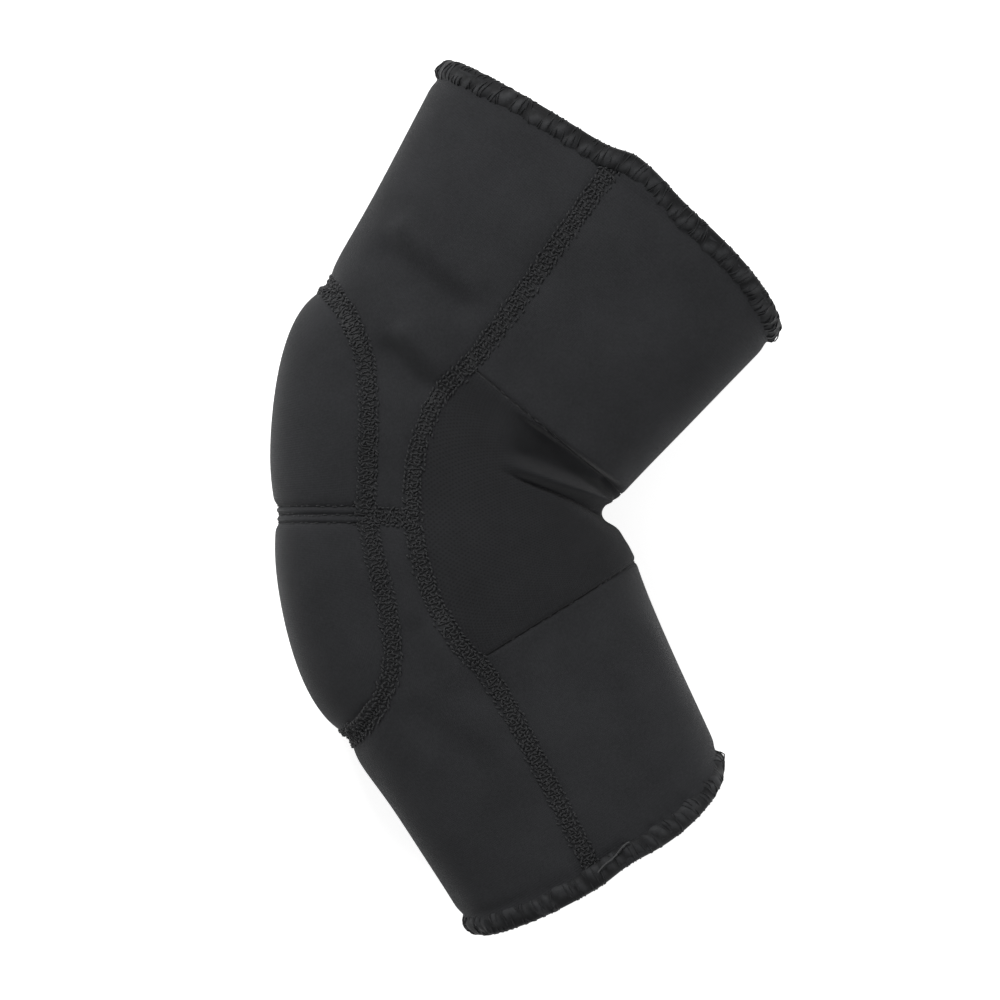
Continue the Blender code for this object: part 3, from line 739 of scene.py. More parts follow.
def side_edge(first, last, rows, gap, focus=None):
    """A panel's edge beside the near side seam. A positive gap lies on the crook's side of it."""
    along = first + (last - first) * spread(rows, focus)
    path = np.stack([along, side_angle(along)], axis=1)
    left = sideways(path)
    return path + gap * left * np.sign(left[:, 1:])


def straight(start, end, columns):
    """Evenly spaced places from one place to another."""
    return start + np.linspace(0, 1, columns + 1)[:, None] * (end - start)


def side_seam_path(far, side):
    """The line of a side seam from its hem to the mid seam."""
    hem = hem_line(side_angle(2.0 * side), side)
    first = hem - side * along_step(HEM_WIDTH / 2, hem, side_angle(2.0 * side))
    along = np.linspace(first, 0.0, ARCH_SAMPLES)
    around = side_angle(along)
    return np.stack([along, -around if far else around], axis=1)


def pad_edge_path(side):
    """The line of the seam round one half of the pad."""
    return pad_arch(side, np.linspace(0, 1, ARCH_SAMPLES))


def mid_path(sign):
    """The line of the short seam from the pad to a side seam, sign 1 near and -1 far."""
    around = sign * np.linspace(PAD_HALF_ANGLE, float(side_angle(0.0)), MID_SAMPLES)
    return np.stack([np.zeros_like(around), around], axis=1)


def pit_path(side):
    """The line of a pit seam from one side seam round to the other."""
    start = side_angle(pit_line(NEAR_SIDE, side))
    around = np.linspace(start, 2 * math.pi - start, ARCH_SAMPLES)
    return np.stack([pit_line(around, side), around], axis=1)


def hem_foot(side):
    """The line where a hem's stitches bite into the panels."""
    around = np.linspace(0, 2 * math.pi, ARCH_SAMPLES)
    path = np.stack([hem_line(around, side), around], axis=1)
    return path + side * HEM_WIDTH * sideways(path)


def tree_of(paths):
    """A search tree over points on the given lines."""
    points = np.concatenate([bare_tube(path[:, 0], path[:, 1]) for path in paths])
    tree = KDTree(len(points))
    for number, point in enumerate(points):
        tree.insert(Vector(point), number)
    tree.balance()
    return tree


def flat_seam_paths():
    """The lines of all flat seams."""
    paths = [side_seam_path(far, side) for far in (False, True) for side in (-1, 1)]
    return paths + [pad_edge_path(-1), pad_edge_path(1), mid_path(1), mid_path(-1)]


def drawn_in(grid):
    """How far the seams draw the cloth in at each place of a grid."""
    points = bare_tube(grid[..., 0], grid[..., 1]).reshape(-1, 3)
    own = sizes()
    pulled = np.zeros(len(points))
    away_from_crook = smooth_step(from_crook(grid[..., 1]), *PIT_FADE_ANGLES).ravel()
    upper_fade = PIT_FADE + (1 - PIT_FADE) * away_from_crook
    hems = [hem_foot(side) for side in (-1, 1)]
    for paths, depth, width in ((flat_seam_paths(), own.seam_draw, own.seam_draw_width),
                                (hems, own.hem_draw, own.hem_draw_width),
                                ([pit_path(-1)], own.pit_draw * upper_fade, own.pit_draw_width),
                                ([pit_path(1)], own.pit_draw, own.pit_draw_width)):
        tree = tree_of(paths)
        away = np.array([tree.find(Vector(point))[2] for point in points])
        pulled = np.minimum(pulled, -depth * np.exp(-(away / width)**2))
    return pulled.reshape(grid.shape[:2])


def points_of(piece):
    """The places of a piece's vertices."""
    points = np.empty(len(piece.data.vertices) * 3)
    piece.data.vertices.foreach_get("co", points)
    return points.reshape(-1, 3)


def move_points(piece, points):
    """Puts a piece's vertices at the given places."""
    piece.data.vertices.foreach_set("co", np.ascontiguousarray(points).ravel())
    piece.data.update()


def pick(*pieces):
    """Selects these pieces alone and makes the first one active."""
    bpy.ops.object.select_all(action="DESELECT")
    for piece in pieces:
        piece.select_set(True)
    if pieces:
        bpy.context.view_layer.objects.active = pieces[0]


def lay_grid(name, grid, heights):
    """A flat grid of cloth, laid on the sleeve by its places and heights."""
    rows, columns = grid.shape[:2]
    pick()
    bpy.ops.mesh.primitive_grid_add(x_subdivisions=columns - 1, y_subdivisions=rows - 1, size=2)
    piece = bpy.context.object
    piece.name = name
    mesh = piece.data
    mesh.name = name
    flat = points_of(piece)
    column = np.rint((flat[:, 0] + 1) / 2 * (columns - 1)).astype(int)
    row = np.rint((flat[:, 1] + 1) / 2 * (rows - 1)).astype(int)
    places = grid[row, column]
    points = cloth(places[:, 0], places[:, 1], heights[row, column])
    corners = np.empty(len(mesh.loops), dtype=int)
    mesh.loops.foreach_get("vertex_index", corners)
    unrolled = places[:, ::-1] * (UV_PER_AROUND, UV_PER_ALONG)
    mesh.uv_layers[0].data.foreach_set("uv", unrolled[corners].ravel())
    move_points(piece, points)
    facing = np.empty(len(mesh.vertices) * 3)
    mesh.vertices.foreach_get("normal", facing)
    if np.sum(facing.reshape(-1, 3) * outward(places[:, 0], places[:, 1])) < 0:
        edit(piece, bpy.ops.mesh.flip_normals)
    return piece


def edit(piece, *steps):
    """Runs edit-mode steps on the whole of one piece."""
    pick(piece)
    bpy.ops.object.mode_set(mode="EDIT")
    bpy.ops.mesh.select_all(action="SELECT")
    for step in steps:
        step()
    bpy.ops.object.mode_set(mode="OBJECT")


def joined(name, parts):
    """Several parts sewn into one piece."""
    pick(*parts)
    if len(parts) > 1:
        bpy.ops.object.join()
    piece = bpy.context.object
    piece.name = name
    piece.data.name = name
    return piece


def merge(piece):
    """Closes the cuts between a piece's grids."""
    edit(piece, lambda: bpy.ops.mesh.remove_doubles(threshold=MERGE_DISTANCE))


def apply_modifier(piece, kind, **settings):
    """Adds a modifier with the given settings to the active piece, and applies it."""
    bpy.ops.object.modifier_add(type=kind)
    modifier = piece.modifiers[-1]
    for name, value in settings.items():
        setattr(modifier, name, value)
    bpy.ops.object.modifier_apply(modifier=modifier.name)


def thicken(piece, thickness):
    """Gives cloth its thickness inwards, with the lining on its inner face, and rounds its edges."""
    pick(piece)
    apply_modifier(piece, "SOLIDIFY", thickness=thickness, offset=-1, material_offset=1)
    apply_modifier(piece, "SUBSURF", levels=1, render_levels=1)
    bpy.ops.object.shade_smooth()


def cut_piece(name, layers, thickness, finishes):
    """A pattern piece from layers of places and heights."""
    parts = [lay_grid(name, grid, heights) for grid, heights in layers]
    piece = joined(name, parts)
    merge(piece)
    for each in finishes:
        piece.data.materials.append(each)
    thicken(piece, thickness)
    return piece


def thread(name, strands, width, finish_used):
    """Strands of points, each rounded off as a length of thread, in one piece."""
    pick()
    bpy.ops.curve.primitive_bezier_curve_add()
    piece = bpy.context.object
    curve = piece.data
    curve.splines.clear()
    curve.dimensions = "3D"
    for strand in strands:
        spline = curve.splines.new("POLY")
        spline.points.add(len(strand) - 1)
        spline.points.foreach_set("co", np.column_stack([strand, np.ones(len(strand))]).ravel())
        thin = np.ones(len(strand))
        thin[0] = thin[-1] = THREAD_TAPER
        spline.points.foreach_set("radius", thin)
    curve.bevel_depth = width / 2
    curve.bevel_resolution = 1
    curve.use_fill_caps = True
    bpy.ops.object.convert(target="MESH")
    piece = bpy.context.object
    piece.name = name
    piece.data.materials.clear()
    piece.data.materials.append(finish_used)
    bpy.ops.object.shade_smooth()
    return piece


def fasten(piece, slot, *nodes):
    """Fixes a piece where it lies and lets it stand for its solids."""
    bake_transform(piece)
    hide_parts(*nodes)


def new_socket(group, name, kind, is_output, default=None):
    """A named socket on a node group."""
    way = "OUTPUT" if is_output else "INPUT"
    socket = group.interface.new_socket(name=name, in_out=way, socket_type=kind)
    if default is not None:
        socket.default_value = default


def value_node(tree, operation, first, second):
    """A Math node. Each input is a socket or a number."""
    node = tree.nodes.new("ShaderNodeMath")
    node.operation = operation
    for socket, value in zip(node.inputs, (first, second)):
        if isinstance(value, (int, float)):
            socket.default_value = value
        else:
            tree.links.new(value, socket)
    return node.outputs[0]


def knit_group():
    """Shared effect: a fine knitted face on the UV map, as a height and a tint."""
    if "knitted_face" in bpy.data.node_groups:
        return bpy.data.node_groups["knitted_face"]
    group = bpy.data.node_groups.new("knitted_face", "ShaderNodeTree")
    new_socket(group, "Pitch", "NodeSocketFloat", False, 0.0005)
    new_socket(group, "Height", "NodeSocketFloat", True)
    new_socket(group, "Tint", "NodeSocketFloat", True)
    source = group.nodes.new("NodeGroupInput")
    result = group.nodes.new("NodeGroupOutput")
    uv = group.nodes.new("ShaderNodeTexCoord")
    parts = group.nodes.new("ShaderNodeSeparateXYZ")
    group.links.new(uv.outputs["UV"], parts.inputs[0])
    turns = value_node(group, "DIVIDE", 2 * math.pi, source.outputs["Pitch"])
    wale = value_node(group, "SINE", value_node(group, "MULTIPLY", parts.outputs["X"], turns), 0)
    course = value_node(group, "MULTIPLY", value_node(group, "MULTIPLY", parts.outputs["Y"], turns), 1.3)
    lean = value_node(group, "MULTIPLY", value_node(group, "ABSOLUTE", wale, 0), 1.6)
    loop = value_node(group, "SINE", value_node(group, "ADD", course, lean), 0)
    height = value_node(group, "ADD", value_node(group, "MULTIPLY", wale, 0.5), loop)
    group.links.new(height, result.inputs["Height"])
    speckle = group.nodes.new("ShaderNodeTexNoise")
    place = group.nodes.new("ShaderNodeTexCoord")
    group.links.new(place.outputs["Object"], speckle.inputs["Vector"])
    speckle.inputs["Scale"].default_value = 1400
    speckle.inputs["Detail"].default_value = 2
    flecks = value_node(group, "MULTIPLY", value_node(group, "SUBTRACT", speckle.outputs["Fac"], 0.5), 0.9)
    # The tint is lighter where the knit stands high and darker in its hollows, painted shade on its loops,
    # plus random flecks
    tint = value_node(group, "ADD", value_node(group, "MULTIPLY", height, 0.04), flecks)
    group.links.new(tint, result.inputs["Tint"])
    return group


def mottle_group():
    """Shared effect: broad, soft changes of tone, as handled cloth has."""
    if "soft_mottle" in bpy.data.node_groups:
        return bpy.data.node_groups["soft_mottle"]
    group = bpy.data.node_groups.new("soft_mottle", "ShaderNodeTree")
    new_socket(group, "Colour", "NodeSocketColor", False)
    new_socket(group, "Tint", "NodeSocketFloat", False, 0.0)
    new_socket(group, "Strength", "NodeSocketFloat", False, 0.3)
    new_socket(group, "Colour", "NodeSocketColor", True)
    source = group.nodes.new("NodeGroupInput")
    result = group.nodes.new("NodeGroupOutput")
    place = group.nodes.new("ShaderNodeTexCoord")
    broad = group.nodes.new("ShaderNodeTexNoise")
    group.links.new(place.outputs["Object"], broad.inputs["Vector"])
    broad.inputs["Scale"].default_value = 55
    broad.inputs["Detail"].default_value = 4
    broad.inputs["Roughness"].default_value = 0.6
    swing = value_node(group, "SUBTRACT", broad.outputs["Fac"], 0.5)
    both = value_node(group, "ADD", value_node(group, "MULTIPLY", swing, 1.2), source.outputs["Tint"])
    gain = value_node(group, "ADD", value_node(group, "MULTIPLY", both, source.outputs["Strength"]), 1.0)
    tone = group.nodes.new("ShaderNodeVectorMath")
    tone.operation = "SCALE"
    group.links.new(source.outputs["Colour"], tone.inputs[0])
    group.links.new(gain, tone.inputs["Scale"])
    group.links.new(tone.outputs[0], result.inputs["Colour"])
    return group


def placed_group(tree, group, **values):
    """A node group placed in a material with its own values."""
    node = tree.nodes.new("ShaderNodeGroup")
    node.node_tree = group
    for name, value in values.items():
        node.inputs[name].default_value = value
    return node


def cloth_material(name, colour, roughness, sheen, bump_height, strength):
    """Knitted cloth: mottled colour, fine knit and a soft sheen."""
    made = bpy.data.materials.new(name)
    made.use_nodes = True
    tree = made.node_tree
    shader = tree.nodes["Principled BSDF"]
    shader.inputs["Roughness"].default_value = roughness
    shader.inputs["Specular IOR Level"].default_value = 0.15
    shader.inputs["Sheen Weight"].default_value = sheen
    shader.inputs["Sheen Roughness"].default_value = 0.35
    knit = placed_group(tree, knit_group(), Pitch=finish().knit_pitch)
    mottle = placed_group(tree, mottle_group(), Colour=(*colour, 1.0), Strength=strength)
    tree.links.new(knit.outputs["Tint"], mottle.inputs["Tint"])
    tree.links.new(mottle.outputs["Colour"], shader.inputs["Base Color"])
    bump = tree.nodes.new("ShaderNodeBump")
    bump.inputs["Distance"].default_value = bump_height
    bump.inputs["Strength"].default_value = 0.6
    tree.links.new(knit.outputs["Height"], bump.inputs["Height"])
    tree.links.new(bump.outputs["Normal"], shader.inputs["Normal"])
    return made


def shaded(tree, mask, least):
    """Darkens a finish towards a least share of its colour where a mask is 0."""
    shader = tree.nodes["Principled BSDF"]
    shade = tree.nodes.new("ShaderNodeMapRange")
    shade.inputs["To Min"].default_value = least
    tree.links.new(mask, shade.inputs["Value"])
    dark = tree.nodes.new("ShaderNodeMix")
    dark.data_type = "RGBA"
    dark.blend_type = "MULTIPLY"
    dark.inputs["Factor"].default_value = 1.0
    tree.links.new(shader.inputs["Base Color"].links[0].from_socket, dark.inputs["A"])
    tree.links.new(shade.outputs[0], dark.inputs["B"])
    tree.links.new(dark.outputs["Result"], shader.inputs["Base Color"])


def stretch_material():
    """Thin stretch cloth with staggered rows of fine holes."""
    made = cloth_material("holed_stretch", finish().pit_colour, 0.88, 0.08, 0.00004, 0.45)
    tree = made.node_tree
    uv = tree.nodes.new("ShaderNodeTexCoord")
    parts = tree.nodes.new("ShaderNodeSeparateXYZ")
    tree.links.new(uv.outputs["UV"], parts.inputs[0])
    pitch = finish().hole_pitch
    row = value_node(tree, "DIVIDE", parts.outputs["Y"], pitch * 0.5)
    count = value_node(tree, "FLOOR", row, 0)
    odd = value_node(tree, "MULTIPLY", value_node(tree, "FLOORED_MODULO", count, 2), 0.5)
    column = value_node(tree, "ADD", value_node(tree, "DIVIDE", parts.outputs["X"], pitch), odd)
    aside = value_node(tree, "SUBTRACT", value_node(tree, "FRACT", column, 0), 0.5)
    within = value_node(tree, "SUBTRACT", value_node(tree, "FRACT", row, 0), 0.5)
    above = value_node(tree, "MULTIPLY", within, 0.5)
    square = value_node(tree, "ADD", value_node(tree, "MULTIPLY", aside, aside),
                        value_node(tree, "MULTIPLY", above, above))
    away = value_node(tree, "SQRT", square, 0)
    edge = finish().hole_width / 2 / pitch
    solid = tree.nodes.new("ShaderNodeMapRange")
    solid.interpolation_type = "SMOOTHSTEP"
    solid.inputs["From Min"].default_value = edge * 0.6
    solid.inputs["From Max"].default_value = edge * 1.3
    tree.links.new(away, solid.inputs["Value"])
    shaded(tree, solid.outputs[0], 0.70)
    return made


def thread_material(name, colour, gloss):
    """Spun thread: a little smoother than the cloth, with twisted fibres."""
    made = bpy.data.materials.new(name)
    made.use_nodes = True
    tree = made.node_tree
    shader = tree.nodes["Principled BSDF"]
    shader.inputs["Roughness"].default_value = 0.62
    shader.inputs["Specular IOR Level"].default_value = gloss
    shader.inputs["Sheen Weight"].default_value = gloss / 3
    place = tree.nodes.new("ShaderNodeTexCoord")
    fibres = tree.nodes.new("ShaderNodeTexNoise")
    tree.links.new(place.outputs["Object"], fibres.inputs["Vector"])
    fibres.inputs["Scale"].default_value = 2600
    fibres.inputs["Detail"].default_value = 3
    mottle = placed_group(tree, mottle_group(), Colour=(*colour, 1.0), Strength=0.6)
    tint = value_node(tree, "SUBTRACT", fibres.outputs["Fac"], 0.5)
    tree.links.new(tint, mottle.inputs["Tint"])
    tree.links.new(mottle.outputs["Colour"], shader.inputs["Base Color"])
    bump = tree.nodes.new("ShaderNodeBump")
    bump.inputs["Distance"].default_value = 0.00012
    bump.inputs["Strength"].default_value = 0.5
    tree.links.new(fibres.outputs["Fac"], bump.inputs["Height"])
    tree.links.new(bump.outputs["Normal"], shader.inputs["Normal"])
    return made


def shaded_slot_roll_material(name, colour):
    """Threads of a hem, with painted shade that darkens the slots between its lumps."""
    made = thread_material(name, colour, HEM_GLOSS)
    lump = made.node_tree.nodes.new("ShaderNodeAttribute")
    lump.attribute_name = SLOT_SHADE_ATTRIBUTE
    # Painted shade: the colour is darkened where the lump mask is low, in the slots between lumps
    shaded(made.node_tree, lump.outputs["Fac"], SLOT_SHADE)
    return made


def material(name):
    """One of the sleeve's finishes, made when it is first needed."""
    if name in bpy.data.materials:
        return bpy.data.materials[name]
    own = finish()
    if name == "jersey_neoprene":
        return cloth_material(name, own.face_colour, 0.85, 0.12, 0.00003, 0.55)
    if name == "knitted_lining":
        return cloth_material(name, own.lining_colour, 0.9, 0.1, 0.00006, 0.45)
    if name == "holed_stretch":
        return stretch_material()
    if name == "hem_roll_slot_shade":
        return shaded_slot_roll_material(name, own.roll_colour)
    threads = {
        "black_thread": (own.thread_colour, THREAD_GLOSS),
        "seam_bed_with_shade": (own.bed_colour_with_shade, THREAD_GLOSS),
        "hem_thread": (own.hem_colour, HEM_GLOSS),
        "loose_thread": (own.loose_colour, THREAD_GLOSS),
    }
    return thread_material(name, *threads[name])


def outer_grids(side):
    """Grids of the panel on the pad's side: a flank on each side of the pad, joined over its end."""
    foot_share = FLANK_ROWS / ARCH_STEPS
    legs = foot_share * spread(FLANK_ROWS)
    over = np.linspace(foot_share, 1 - foot_share, ARCH_STEPS - 2 * FLANK_ROWS + 1)
    arch = pad_arch(side, np.concatenate([legs, over[1:-1], 1 - legs[::-1]]))
    outwards = -EDGE_GAP if side < 0 else EDGE_GAP
    arch = arch + outwards * sideways(arch)
    mid = side * along_step(EDGE_GAP, 0.0, arch[0, 1])
    arch[0, 0] = arch[-1, 0] = mid
    foot, shoulder = arch[:FLANK_ROWS + 1], arch[FLANK_ROWS]
    low_edge = side_edge(mid, shoulder[0], FLANK_ROWS, -EDGE_GAP)
    low_edge[0, 0] = mid
    flank_top = straight(low_edge[-1], shoulder, FLANK_COLUMNS)
    flank = filled(straight(low_edge[0], foot[0], FLANK_COLUMNS), flank_top, low_edge, foot)
    high_edge = side_edge(shoulder[0], hem_line(side_angle(2.0 * side), side), OUTER_ROWS, -EDGE_GAP)
    high_edge[0] = low_edge[-1]
    high_edge[-1, 0] = hem_line(high_edge[-1, 1], side)
    mirror = np.array([1, -1])
    first = np.concatenate([flank_top[:-1], arch[FLANK_ROWS:-FLANK_ROWS], (flank_top * mirror)[-2::-1]])
    around = np.linspace(high_edge[-1, 1], -high_edge[-1, 1], len(first))
    last = np.stack([hem_line(around, side), around], axis=1)
    body = filled(first, last, high_edge, high_edge * mirror)
    return [flank, body, (flank * mirror)[:, ::-1]]


def crook_grid(first_line, last_line, rows, focus=None):
    """Grid of a panel that wraps round the crook's side, between two lines across the sleeve."""
    first_end = first_line(side_angle(first_line(NEAR_SIDE)))
    last_end = last_line(side_angle(last_line(NEAR_SIDE)))
    near = side_edge(first_end, last_end, rows, EDGE_GAP, focus)
    near[0, 0] = first_line(near[0, 1])
    near[-1, 0] = last_line(near[-1, 1])
    far = np.stack([near[:, 0], 2 * math.pi - near[:, 1]], axis=1)
    first_around = np.linspace(near[0, 1], far[0, 1], INNER_COLUMNS + 1)
    last_around = np.linspace(near[-1, 1], far[-1, 1], INNER_COLUMNS + 1)
    first = np.stack([first_line(first_around), first_around], axis=1)
    last = np.stack([last_line(last_around), last_around], axis=1)
    return filled(first, last, near, far, focus)


def beside_pit_seam(side, gap):
    """Line across the sleeve at a gap from a pit seam, positive towards the bottom hem."""
    def line(around):
        around = np.asarray(around, float)
        by_along, _ = slopes(pit_line(around, side), around)
        return pit_line(around, side) + gap / length_of(by_along)
    return line


def pad_grid(side):
    """Grid of one half of the pad, between its outline and the mid seam."""
    foot_share = PAD_ROWS / ARCH_STEPS
    legs = foot_share * spread(PAD_ROWS)
    over = np.linspace(foot_share, 1 - foot_share, PAD_COLUMNS + 1)
    arch = pad_arch(side, np.concatenate([legs, over[1:-1], 1 - legs[::-1]]))
    inwards = EDGE_GAP if side < 0 else -EDGE_GAP
    arch = arch + inwards * sideways(arch)
    mid = side * along_step(EDGE_GAP, 0.0, 0.0)
    arch[:, 0] = side * np.maximum(side * arch[:, 0], side * mid)
    start = arch[:PAD_ROWS + 1]
    end = arch[::-1][:PAD_ROWS + 1]
    last = arch[PAD_ROWS:PAD_ROWS + PAD_COLUMNS + 1]
    start[0, 0] = end[0, 0] = mid
    return filled(straight(start[0], end[0], PAD_COLUMNS), last, start, end)


def cloth_panel(name, grids, thickness, face, slot):
    """A panel that the seams draw in at its edges. Its first two grids lie one after the other."""
    layers = [(grid, drawn_in(grid)) for grid in grids]
    piece = cut_piece(name + "_cloth", layers, thickness, (material(face), material("knitted_lining")))
    fasten(piece, slot, name)


class SLEEVE_OT_outer_panels(bpy.types.Operator):
    """Cut the two panels on the pad's side"""

    bl_idname = "sleeve.outer_panels"
    bl_label = "Outer Panels"

    def execute(self, context):
        for half, side in (("upper", -1), ("lower", 1)):
            name = half + "_outer_panel"
            cloth_panel(name, outer_grids(side), PANEL_THICKNESS, "jersey_neoprene", "neoprene")
        return {"FINISHED"}


class SLEEVE_OT_inner_panels(bpy.types.Operator):
    """Cut the two panels on the crook's side"""

    bl_idname = "sleeve.inner_panels"
    bl_label = "Inner Panels"

    def execute(self, context):
        upper = crook_grid(lambda around: hem_line(around, -1), beside_pit_seam(-1, -PIT_GAP), INNER_ROWS)
        lower = crook_grid(beside_pit_seam(1, PIT_GAP), lambda around: hem_line(around, 1), INNER_ROWS)
        for name, grid in (("upper_inner_panel", upper), ("lower_inner_panel", lower)):
            cloth_panel(name, [grid], PANEL_THICKNESS, "jersey_neoprene", "neoprene")
        return {"FINISHED"}


class SLEEVE_OT_pit_panel(bpy.types.Operator):
    """Cut the stretch panel in the crook"""

    bl_idname = "sleeve.pit_panel"
    bl_label = "Pit Panel"

    def execute(self, context):
        focus = (1 + CREASE_LINE) / 2
        grid = crook_grid(beside_pit_seam(-1, PIT_GAP), beside_pit_seam(1, -PIT_GAP), PIT_ROWS, focus)
        cloth_panel("elbow_pit_panel", [grid], PIT_THICKNESS, "holed_stretch", "perforated_stretch")
        return {"FINISHED"}


def mid_groove(grid):
    """How far the covers dip under the seam across the pad."""
    by_along, _ = slopes(grid[..., 0], grid[..., 1])
    away = grid[..., 0] * length_of(by_along)
    return GROOVE_DEPTH * np.exp(-(away / GROOVE_HALF_WIDTH)**4)


def swell(cover, rows, columns):
    """Lets a cover swell over its foam by a cloth simulation, held at its sewn edge."""
    start = points_of(cover)
    move_points(cover, start * SWELL_SCALE)
    row, column = np.divmod(np.arange(rows * columns), columns)
    sewn = (row == 0) | (row == rows - 1) | (column == 0) | (column == columns - 1)
    edge = cover.vertex_groups.new(name="sewn_edge")
    edge.add(np.flatnonzero(sewn).tolist(), 1.0, "REPLACE")
    bpy.ops.object.modifier_add(type="CLOTH")
    jersey = cover.modifiers[-1]
    jersey.settings.quality = SWELL_QUALITY
    jersey.settings.mass = JERSEY_MASS
    jersey.settings.tension_stiffness = JERSEY_STIFFNESS
    jersey.settings.compression_stiffness = JERSEY_STIFFNESS
    jersey.settings.shear_stiffness = JERSEY_STIFFNESS
    jersey.settings.use_pressure = True
    jersey.settings.uniform_pressure_force = PAD_PRESSURE
    jersey.settings.vertex_group_mass = edge.name
    jersey.settings.effector_weights.gravity = 0
    jersey.collision_settings.use_collision = False
    for frame_number in range(1, SWELL_FRAMES + 1):
        bpy.context.scene.frame_set(frame_number)
    bpy.ops.object.modifier_apply(modifier=jersey.name)
    bpy.context.scene.frame_set(1)
    cover.vertex_groups.clear()
    moved = points_of(cover) / SWELL_SCALE - start
    far = np.linalg.norm(moved, axis=1, keepdims=True)
    move_points(cover, start + moved * np.minimum(1, SWELL_CAP / np.maximum(far, TINY)))


def pad_cover(name, grid):
    """One cover of the pad: laid a little low, swollen over the foam, then drawn in by its seams."""
    rows, columns = grid.shape[:2]
    down, across = (np.sin(math.pi * np.linspace(0, 1, count)) for count in (rows, columns))
    middle = np.outer(down, across)
    cover = lay_grid(name, grid, pad_lift(grid[..., 0], grid[..., 1]) - SWELL_ROOM * middle)
    swell(cover, rows, columns)
    drawn = (drawn_in(grid) - mid_groove(grid)).reshape(-1, 1)
    places = grid.reshape(-1, 2)
    move_points(cover, points_of(cover) + drawn * outward(places[:, 0], places[:, 1]))
    for each in ("jersey_neoprene", "knitted_lining"):
        cover.data.materials.append(material(each))
    thicken(cover, COVER_THICKNESS)
    return cover


class SLEEVE_OT_pad(bpy.types.Operator):
    """Cover the pad, and line it inside"""

    bl_idname = "sleeve.pad"
    bl_label = "Pad"

    def execute(self, context):
        for half, side in (("upper", -1), ("lower", 1)):
            grid = pad_grid(side)
            cover = pad_cover(half + "_pad_cover_cloth", grid)
            fasten(cover, "neoprene", half + "_pad_cover", half + "_pad_foam")
            under = np.full(grid.shape[:2], LINER_THICKNESS - PANEL_THICKNESS)
            lining = (material("knitted_lining"), material("knitted_lining"))
            liner = cut_piece(half + "_pad_liner_cloth", [(grid, under)], LINER_THICKNESS, lining)
            fasten(liner, "jersey_lining", half + "_pad_liner")
        return {"FINISHED"}


def ribbon(name, path, profile, finish_used, climb):
    """A narrow band along a path, which rises with the pad by its climb at most.

    The profile gives offsets to the path's left and heights over the cloth.
    """
    steps = max(int(run_of(path)[-1] / SEAM_SPACING), 4)
    path = resampled(path, np.linspace(0, 1, steps + 1))
    left = sideways(path)
    offsets, heights = np.array(profile).T
    grid = path[:, None] + offsets[None, :, None] * left[:, None]
    lift = heights + np.minimum(pad_lift(grid[..., 0], grid[..., 1]), climb)
    return cut_piece(name, [(grid, lift)], SEAM_BAND, (finish_used,))


def stitch_rows(line, offsets, length, height, thread_width, slant=0.0, climb=PAD_RISE):
    """Rows of stitches along a line: each stitch rises out of the cloth and dives back in."""
    jitter = np.random.default_rng(SEED)
    count = max(int(line.length / length), 1)
    step = line.length / (count + 0.5)
    strands = []
    for number, offset in enumerate(offsets):
        drift = jitter.normal(0, STITCH_DRIFT, (count, 2)) * length
        sink = jitter.uniform(*STITCH_SINK, (count, 1)) * thread_width
        lean = slant * (1 - 2 * (number % 2)) + jitter.normal(0, slant, count)
        stops = (np.arange(count) + 0.5 + 0.5 * (number % 2)) * step + drift[:, 0]
        stops = np.clip(stops[:, None] + STITCH_REACH * step, 0, line.length)
        places, left = line.at(stops)
        sideways_by = (offset + drift[:, 1])[:, None] + np.outer(lean, STITCH_REACH * step)
        places = places + sideways_by[..., None] * left
        up = height + STITCH_RISE * thread_width - sink
        up = up + np.minimum(pad_lift(places[..., 0], places[..., 1]), climb)
        strands += list(cloth(places[..., 0], places[..., 1], up))
    return strands


def inner_rows(line, offsets, length, thread_width):
    """Rows of stitches on the inner face of the panels."""
    count = max(int(line.length / length), 1)
    strands = []
    for offset in offsets:
        stops = (np.arange(count)[:, None] + 0.5 + STITCH_REACH) * line.length / count
        places, left = line.at(stops)
        places = places + offset * left
        up = INNER_FACE - SEAM_BAND - STITCH_RISE * thread_width
        strands += list(cloth(places[..., 0], places[..., 1], np.broadcast_to(up, stops.shape)))
    return strands


def cover_thread(line, half_width, length, height):
    """The looping thread that runs to and fro between the rows of a flat seam."""
    count = max(int(line.length / length), 1)
    stops = np.linspace(0, line.length, count * LOOP_POINTS + 1)
    places, left = line.at(stops)
    swing = half_width * np.sin(np.arange(len(stops)) * 2 * math.pi / LOOP_POINTS)
    places = places + swing[:, None] * left
    lift = np.minimum(pad_lift(places[:, 0], places[:, 1]), SEAM_CLIMB)
    return [cloth(places[:, 0], places[:, 1], height + lift)]


